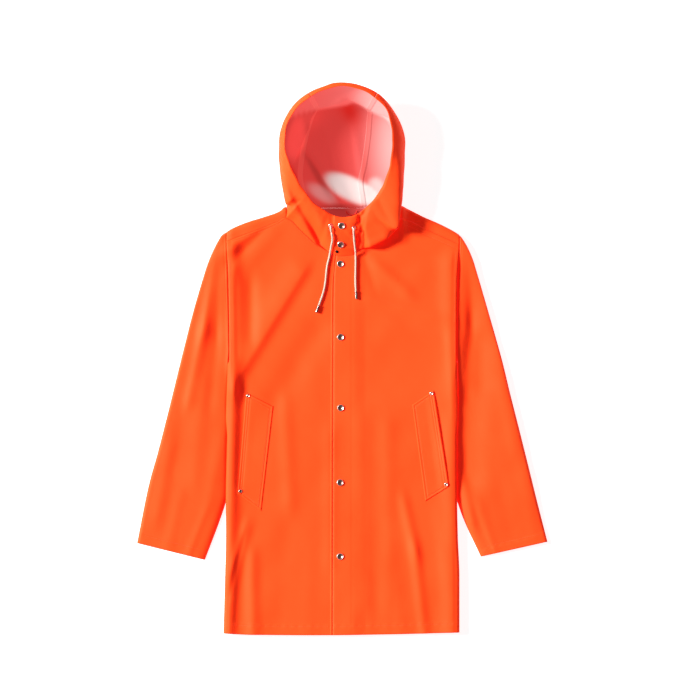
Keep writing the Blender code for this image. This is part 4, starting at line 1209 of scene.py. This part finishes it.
def braided(name, route, radius):
    """A round braid along a route, with both ends closed."""
    count = round(np.linalg.norm(np.diff(route, axis=0), axis=1).sum() / BRAID_STEP)
    line = along(route, np.linspace(0.0, 1.0, count))
    ahead = np.gradient(line, axis=0)
    ahead /= np.linalg.norm(ahead, axis=1)[:, None]
    sideways = np.cross(ahead, (0.0, 0.0, 1.0))
    sideways /= np.linalg.norm(sideways, axis=1)[:, None]
    upward = np.cross(sideways, ahead)
    turn = np.arange(BRAID_SIDES) * 2 * math.pi / BRAID_SIDES
    run = np.arange(count)[:, None] * BRAID_STEP * BRAID_TURN
    plait = np.maximum(np.sin(BRAID_STRANDS * turn + run), np.sin(BRAID_STRANDS * turn - run))
    reach = radius - BRAID_RELIEF + BRAID_RELIEF * plait
    rings = line[:, None] + reach[:, :, None] * (
        np.cos(turn)[None, :, None] * sideways[:, None] + np.sin(turn)[None, :, None] * upward[:, None]
    )
    points = np.concatenate((rings.reshape(-1, 3), line[:1], line[-1:]))
    number = np.arange(count * BRAID_SIDES).reshape(count, BRAID_SIDES)
    ahead_of = np.roll(number, -1, axis=1)
    faces = np.stack((number[:-1], number[1:], ahead_of[1:], ahead_of[:-1]), axis=2).reshape(-1, 4).tolist()
    faces += [[a, b, number.size] for a, b in zip(number[0], ahead_of[0])]
    faces += [[b, a, number.size + 1] for a, b in zip(number[-1], ahead_of[-1])]
    data = bpy.data.meshes.new(name)
    data.from_pydata((points * MM).tolist(), [], faces)
    data.shade_smooth()
    data.materials.append(cotton_cord)
    return linked(name, data)


def cord_route(side):
    """The drawcord's middle line, lying on the cloth from its eyelet to its tip."""
    plan = curve_points(CORD_ROUTES[side], 3)
    lift = CORD_DIAMETER / 2 + 2 * SEAM
    return np.array([(x, y, highest(panels, x, y, CORD_REACH) + lift + free) for x, y, free in plan])


routes = {side: cord_route(side) for side in ("right", "left")}
for side, route in routes.items():
    smooth = curve_points(route, 4)
    braid = braided(f"drawcord_{side}_braid", smooth, CORD_DIAMETER / 2)
    own(braid, "cord_cotton", "drawcord_" + side)


# Metal trims


def select_top(obj):
    """Leaves only the top face selected, in edit mode."""
    bpy.ops.object.mode_set(mode="EDIT")
    bpy.ops.mesh.select_mode(type="FACE")
    bpy.ops.mesh.select_all(action="DESELECT")
    shape = bmesh.from_edit_mesh(obj.data)
    max(shape.faces, key=lambda face: face.calc_center_median().z).select_set(True)
    bmesh.update_edit_mesh(obj.data)


def cylinder(name, radius, height, sides):
    bpy.ops.object.select_all(action="DESELECT")
    bpy.ops.mesh.primitive_cylinder_add(
        vertices=sides, radius=radius * MM, depth=height * MM, location=(0.0, 0.0, height * MM / 2)
    )
    obj = bpy.context.object
    obj.name = name
    bpy.ops.object.transform_apply(location=True, rotation=False, scale=False)
    return obj


def finished(obj, finish, bevel, angle=30.0):
    bpy.ops.object.mode_set(mode="OBJECT")
    edge = obj.modifiers.new("edge", "BEVEL")
    edge.width = bevel * MM
    edge.segments = 2
    edge.angle_limit = math.radians(angle)
    bpy.ops.object.modifier_apply(modifier="edge")
    obj.data.shade_smooth()
    obj.data.materials.append(finish)
    return obj


def pressed_cap(name, radius, height, presses, finish, sides=40, bevel=0.12, dish=None):
    """A round cap whose top is pressed in rings: each has its width and its rise."""
    obj = cylinder(name, radius, height, sides)
    select_top(obj)
    for width, rise in presses:
        bpy.ops.mesh.inset(thickness=width * MM, depth=rise * MM)
    finished(obj, finish, bevel)
    # the dish in the middle takes the darker metal, a painted dark reflection
    if dish:
        obj.data.materials.append(dish[0])
        for face in obj.data.polygons:
            if face.center.xy.length < dish[1] * MM and face.normal.z > 0.3:
                face.material_index = 1
    return obj


def eyelet(name, radius, thickness, finish):
    bpy.ops.object.select_all(action="DESELECT")
    bpy.ops.mesh.primitive_torus_add(
        major_segments=36, minor_segments=14,
        major_radius=(radius - thickness) * MM, minor_radius=thickness * MM,
    )
    obj = bpy.context.object
    obj.name = name
    obj.scale = (1.0, 1.0, EYELET_FLATNESS)
    obj.location = (0.0, 0.0, EYELET_FLATNESS * thickness * MM)
    bpy.ops.object.transform_apply(location=True, rotation=False, scale=True)
    obj.data.shade_smooth()
    obj.data.materials.append(finish)
    return obj


def crimped_tip(name, stages, finish):
    """A drawcord tip: rings of its own height and radius, one after another."""
    obj = cylinder(name, stages[0][1], stages[0][0], 28)
    select_top(obj)
    before = stages[0][1]
    for height, radius in stages[1:]:
        bpy.ops.mesh.extrude_region_move(TRANSFORM_OT_translate={"value": (0.0, 0.0, height * MM)})
        bpy.ops.transform.resize(value=(radius / before, radius / before, 1.0))
        before = radius
    return finished(obj, finish, 0.1, 25.0)


def placed(model, name, place, slot, node):
    """A copy of a finished trim with its own mesh, at its place."""
    data = model.data.copy()
    data.name = name
    data.transform(place)
    return own(linked(name, data), slot, node)


def welt(side):
    """A slanted strip on its front, made from the front's points moved out, edge-stitched all round."""
    mouth_top, mouth_bottom, inner_bottom, inner_top = (np.array(corner) for corner in POCKET_CORNERS[side])
    down = np.linspace(0.0, 1.0, 150)[:, None, None]
    across = np.linspace(0.0, 1.0, 44)[None, :, None]
    mouth = mouth_top + (mouth_bottom - mouth_top) * down
    inner = inner_top + (inner_bottom - inner_top) * down
    plan = mouth + (inner - mouth) * across
    x, y = plan[:, :, 0], plan[:, :, 1]
    under = coat_height(x, y) + front_relief(side, x, y) + (lap_lift(x) if side == "left" else 0.0)
    width = np.linalg.norm(inner_top - mouth_top)
    length = np.linalg.norm(mouth_bottom - mouth_top)
    share = across[:, :, 0]
    from_edge = np.minimum(
        np.minimum(share, 1 - share) * width, np.minimum(down[:, :, 0], 1 - down[:, :, 0]) * length
    )
    lift = WELT_MOUTH_LIFT[side] * (1 - smooth_step(share, 0.0, 0.5)) * np.sin(np.pi * down[:, :, 0]) ** 0.5
    top = under + SEAM + WELT_WALL + lift
    top = top + groove(from_edge, 0.0, *EDGE_GROOVE) + groove(from_edge, WELT_STITCH, 1.3, 0.8)
    top = top + groove(share * width, MOUTH_STITCH, 1.3, 0.6)
    obj = cloth(
        f"pocket_welt_{side}_cloth", np.dstack((x, y, top)), flip=side == "right", wall=WELT_WALL
    )
    return own(obj, "shell_cloth", "pocket_welt_" + side)


welts = {side: welt(side) for side in ("right", "left")}

snap_model = pressed_cap("snap_model", SNAP_RADIUS, 1.5, SNAP_PRESSES, nickel, dish=(painted_reflection_nickel, 6.0))
rivet_model = pressed_cap(
    "rivet_model", RIVET_RADIUS, 0.8, RIVET_PRESSES, nickel, 30, 0.08, dish=(painted_reflection_nickel, 3.0)
)
stud_model = pressed_cap("stud_model", STUD_RADIUS, 0.7, STUD_PRESSES, dark_nickel, 30, 0.08)
eyelet_model = eyelet("eyelet_model", EYELET_RADIUS, 1.0, nickel)
tip_model = crimped_tip("tip_model", TIP_STAGES, gun_nickel)

for number, (x, y) in enumerate(SNAP_PLACES, 1):
    place = seat_on(panels, x, y, SNAP_RADIUS) @ Matrix.Rotation(number * 1.1, 4, "Z")
    placed(snap_model, f"snap_{number}_cap", place, "snap_metal", f"snap_{number}")
placed(stud_model, "neck_stud", seat_on(panels, *STUD_PLACE, STUD_RADIUS), "dark_metal", "neck_eyelet")
for side in ("right", "left"):
    welt_surface = trees_of(welts[side])
    for number, (x, y) in enumerate(RIVET_PLACES[side], 1):
        node = f"pocket_rivet_{side}_{number}"
        placed(rivet_model, node + "_cap", seat_on(welt_surface, x, y, RIVET_SEAT), "snap_metal", node)
    place = seat_on(panels, *EYELET_PLACES[side], EYELET_RADIUS)
    placed(eyelet_model, f"cord_eyelet_{side}_ring", place, "snap_metal", "cord_eyelet_" + side)

for side, route in routes.items():
    ahead = Vector(route[-1] - route[-3])
    ahead.z = 0.0
    ahead.normalize()
    rise = Vector((0.0, 0.0, TIP_RADIUS - CORD_DIAMETER / 2 + SEAM))
    start = (Vector(route[-1]) + ahead * SEAM * 2 + rise) * MM
    place = Matrix.Translation(start) @ ahead.to_track_quat("Z", "Y").to_matrix().to_4x4()
    placed(tip_model, f"cord_tip_{side}_metal", place, "snap_metal", "cord_tip_" + side)
for model in (snap_model, rivet_model, stud_model, eyelet_model, tip_model):
    bpy.data.objects.remove(model)


# Hanging loop, sewn in at the nape

turns = np.linspace(0.0, math.pi, 25)
middle, half = sum(LOOP_SPAN) / 2, (LOOP_SPAN[1] - LOOP_SPAN[0]) / 2
loop_route = np.stack((
    middle - half * np.cos(turns),
    LOOP_Y - LOOP_DROP * np.sin(turns),
    np.full(len(turns), CLOTH + LOOP_CLEARANCE + LOOP_DIAMETER / 2),
), axis=1)
loop = braided("hanging_loop_cord", loop_route, LOOP_DIAMETER / 2)
# darker red, without the cloth's painted glow: painted shade on the loop inside the nape
loop.data.materials[0] = new_material("loop_cloth", (0.55, 0.02, 0.012), 0.8)
own(loop, "shell_cloth", "hanging_loop")


# Stitches


def stitched(name, lines, surface):
    """Stitches along lines of the plan, each a short thread that sinks into the cloth at both ends."""
    turns = np.arange(STITCH_SIDES) * 2 * math.pi / STITCH_SIDES
    points, faces = [], []
    for line in lines:
        line = np.array(line, float)
        length = np.linalg.norm(np.diff(line, axis=0), axis=1).sum()
        places = along(line, (np.arange(int(length / STITCH_PITCH)) + 0.5) * STITCH_PITCH / length)
        ahead = np.gradient(places, axis=0)
        ahead /= np.linalg.norm(ahead, axis=1)[:, None]
        for (x, y), (dx, dy) in zip(places, ahead):
            ends = [drop(surface, x + dx * STITCH * run, y + dy * STITCH * run) for run in (-0.5, 0.5)]
            if min(ends) <= 0.0 or abs(ends[1] - ends[0]) > STITCH:
                continue
            first = len(points)
            for run, girth, rise in STITCH_PROFILE:
                height = ends[0] + (ends[1] - ends[0]) * (run + 0.5) + rise
                for turn in turns:
                    side = math.cos(turn) * STITCH_RADIUS * girth
                    points.append((
                        x + dx * STITCH * run - dy * side,
                        y + dy * STITCH * run + dx * side,
                        height + math.sin(turn) * STITCH_RADIUS * girth,
                    ))
            for ring in range(len(STITCH_PROFILE) - 1):
                start = first + ring * STITCH_SIDES
                for k in range(STITCH_SIDES):
                    a, b = start + k, start + (k + 1) % STITCH_SIDES
                    faces.append((a, b, b + STITCH_SIDES, a + STITCH_SIDES))
            faces.append(tuple(range(first, first + STITCH_SIDES)))
            last = first + (len(STITCH_PROFILE) - 1) * STITCH_SIDES
            faces.append(tuple(range(last + STITCH_SIDES - 1, last - 1, -1)))
    data = bpy.data.meshes.new(name)
    data.from_pydata((np.array(points) * MM).tolist(), [], faces)
    data.shade_smooth()
    data.materials.append(thread)
    return riding(linked(name, data))


def hem_line(side):
    x = np.linspace(side_x(HEM_Y, side) - outward(side) * 12.0, HEM_STITCH_END[side], 60)
    return np.stack((x, reading(HEM_LINE, x) + HEM_STITCH), axis=1)


def shoulder_line(side):
    x = np.linspace(outward(side) * 128.0, outward(side) * 240.0, 40)
    return np.stack((x, front_top(x) - SHOULDER_STITCH[side]), axis=1)


def edge_line():
    y = np.linspace(HEM_Y + HEM_STITCH + 4.0, 214.0, 120)
    return np.stack((reading(CENTRE_EDGES["left"], y) + EDGE_STITCH, y), axis=1)


def armhole_line(side):
    y = np.linspace(16.0, 236.0, 60)
    return np.stack((side_x(y, side) - outward(side) * ARM_STITCH, y), axis=1)


def cuff_line(side):
    outer, inner = (np.array(SLEEVES[side][edge][-1]) for edge in ("outer", "inner"))
    up = np.array(SLEEVES[side]["outer"][-2]) - outer
    up = up / np.linalg.norm(up) * HEM_STITCH
    shares = np.linspace(0.09, 0.91, 30)[:, None]
    return outer + up + (inner - outer) * shares


def welt_line(side):
    corners = np.array(POCKET_CORNERS[side])
    middle = corners.mean(axis=0)
    inset = corners + np.sign(middle - corners) * WELT_STITCH * (1.2, 1.6)
    return np.concatenate((inset, inset[:1]))


def neck_line():
    x = np.linspace(-112.0, 112.0, 80)
    return np.stack((x, reading(NECKLINE, x) - NECK_STITCH), axis=1)


for side, edges in (("right", []), ("left", [edge_line()])):
    lines = [hem_line(side), shoulder_line(side), armhole_line(side)] + edges
    stitched(f"front_{side}_stitches", lines, trees_of(fronts[side]))
stitched("neck_stitches", [neck_line()], trees_of(*fronts.values()))
for side in ("right", "left"):
    stitched(f"cuff_{side}_stitches", [cuff_line(side)], trees_of(sleeves[side]))
    stitched(f"pocket_{side}_stitches", [welt_line(side)], trees_of(welts[side]))


# Floor and light

bpy.ops.object.select_all(action="DESELECT")
bpy.ops.mesh.primitive_plane_add(size=TABLE_SIZE, location=(0.0, 0.0, -TABLE_DROP))
floor = bpy.context.object
floor.name = "floor"
white = new_material("white_light_table", (0.46, 0.46, 0.46), 0.7, sheen=0.1)
glow(white, (1.0, 1.0, 1.0), TABLE_GLOW)
floor.data.materials.append(white)

lamp = bpy.data.lights.new("key", "AREA")
lamp.shape = "DISK"
lamp.size = 2 * KEY_DISTANCE * math.tan(math.radians(KEY_WIDTH / 2))
lamp.energy = KEY_POWER
lamp.color = KEY_COLOUR
key = linked("key", lamp)
toward = Vector((
    math.cos(math.radians(KEY_ELEVATION)) * math.cos(math.radians(KEY_AZIMUTH)),
    math.cos(math.radians(KEY_ELEVATION)) * math.sin(math.radians(KEY_AZIMUTH)),
    math.sin(math.radians(KEY_ELEVATION)),
))
key.location = toward * KEY_DISTANCE
key.rotation_euler = toward.to_track_quat("Z", "Y").to_euler()

world = bpy.data.worlds.new("studio")
bpy.context.scene.world = world
world.use_nodes = True
sky = world.node_tree
surround = sky.nodes["Background"]
direction = sky.nodes.new("ShaderNodeTexCoord")
parts = sky.nodes.new("ShaderNodeSeparateXYZ")
zenith = sky.nodes.new("ShaderNodeMapRange")
zenith.interpolation_type = "SMOOTHSTEP"
zenith.inputs["From Min"].default_value = DARK_OVERHEAD[0]
zenith.inputs["From Max"].default_value = DARK_OVERHEAD[1]
zenith.inputs["To Min"].default_value = FILL
zenith.inputs["To Max"].default_value = FILL * FILL_OVERHEAD
sky.links.new(direction.outputs["Generated"], parts.inputs["Vector"])
sky.links.new(parts.outputs["Z"], zenith.inputs["Value"])
sky.links.new(zenith.outputs["Result"], surround.inputs["Strength"])
surround.inputs["Color"].default_value = SURROUND_COLOUR
bpy.context.scene.view_settings.view_transform = "Standard"
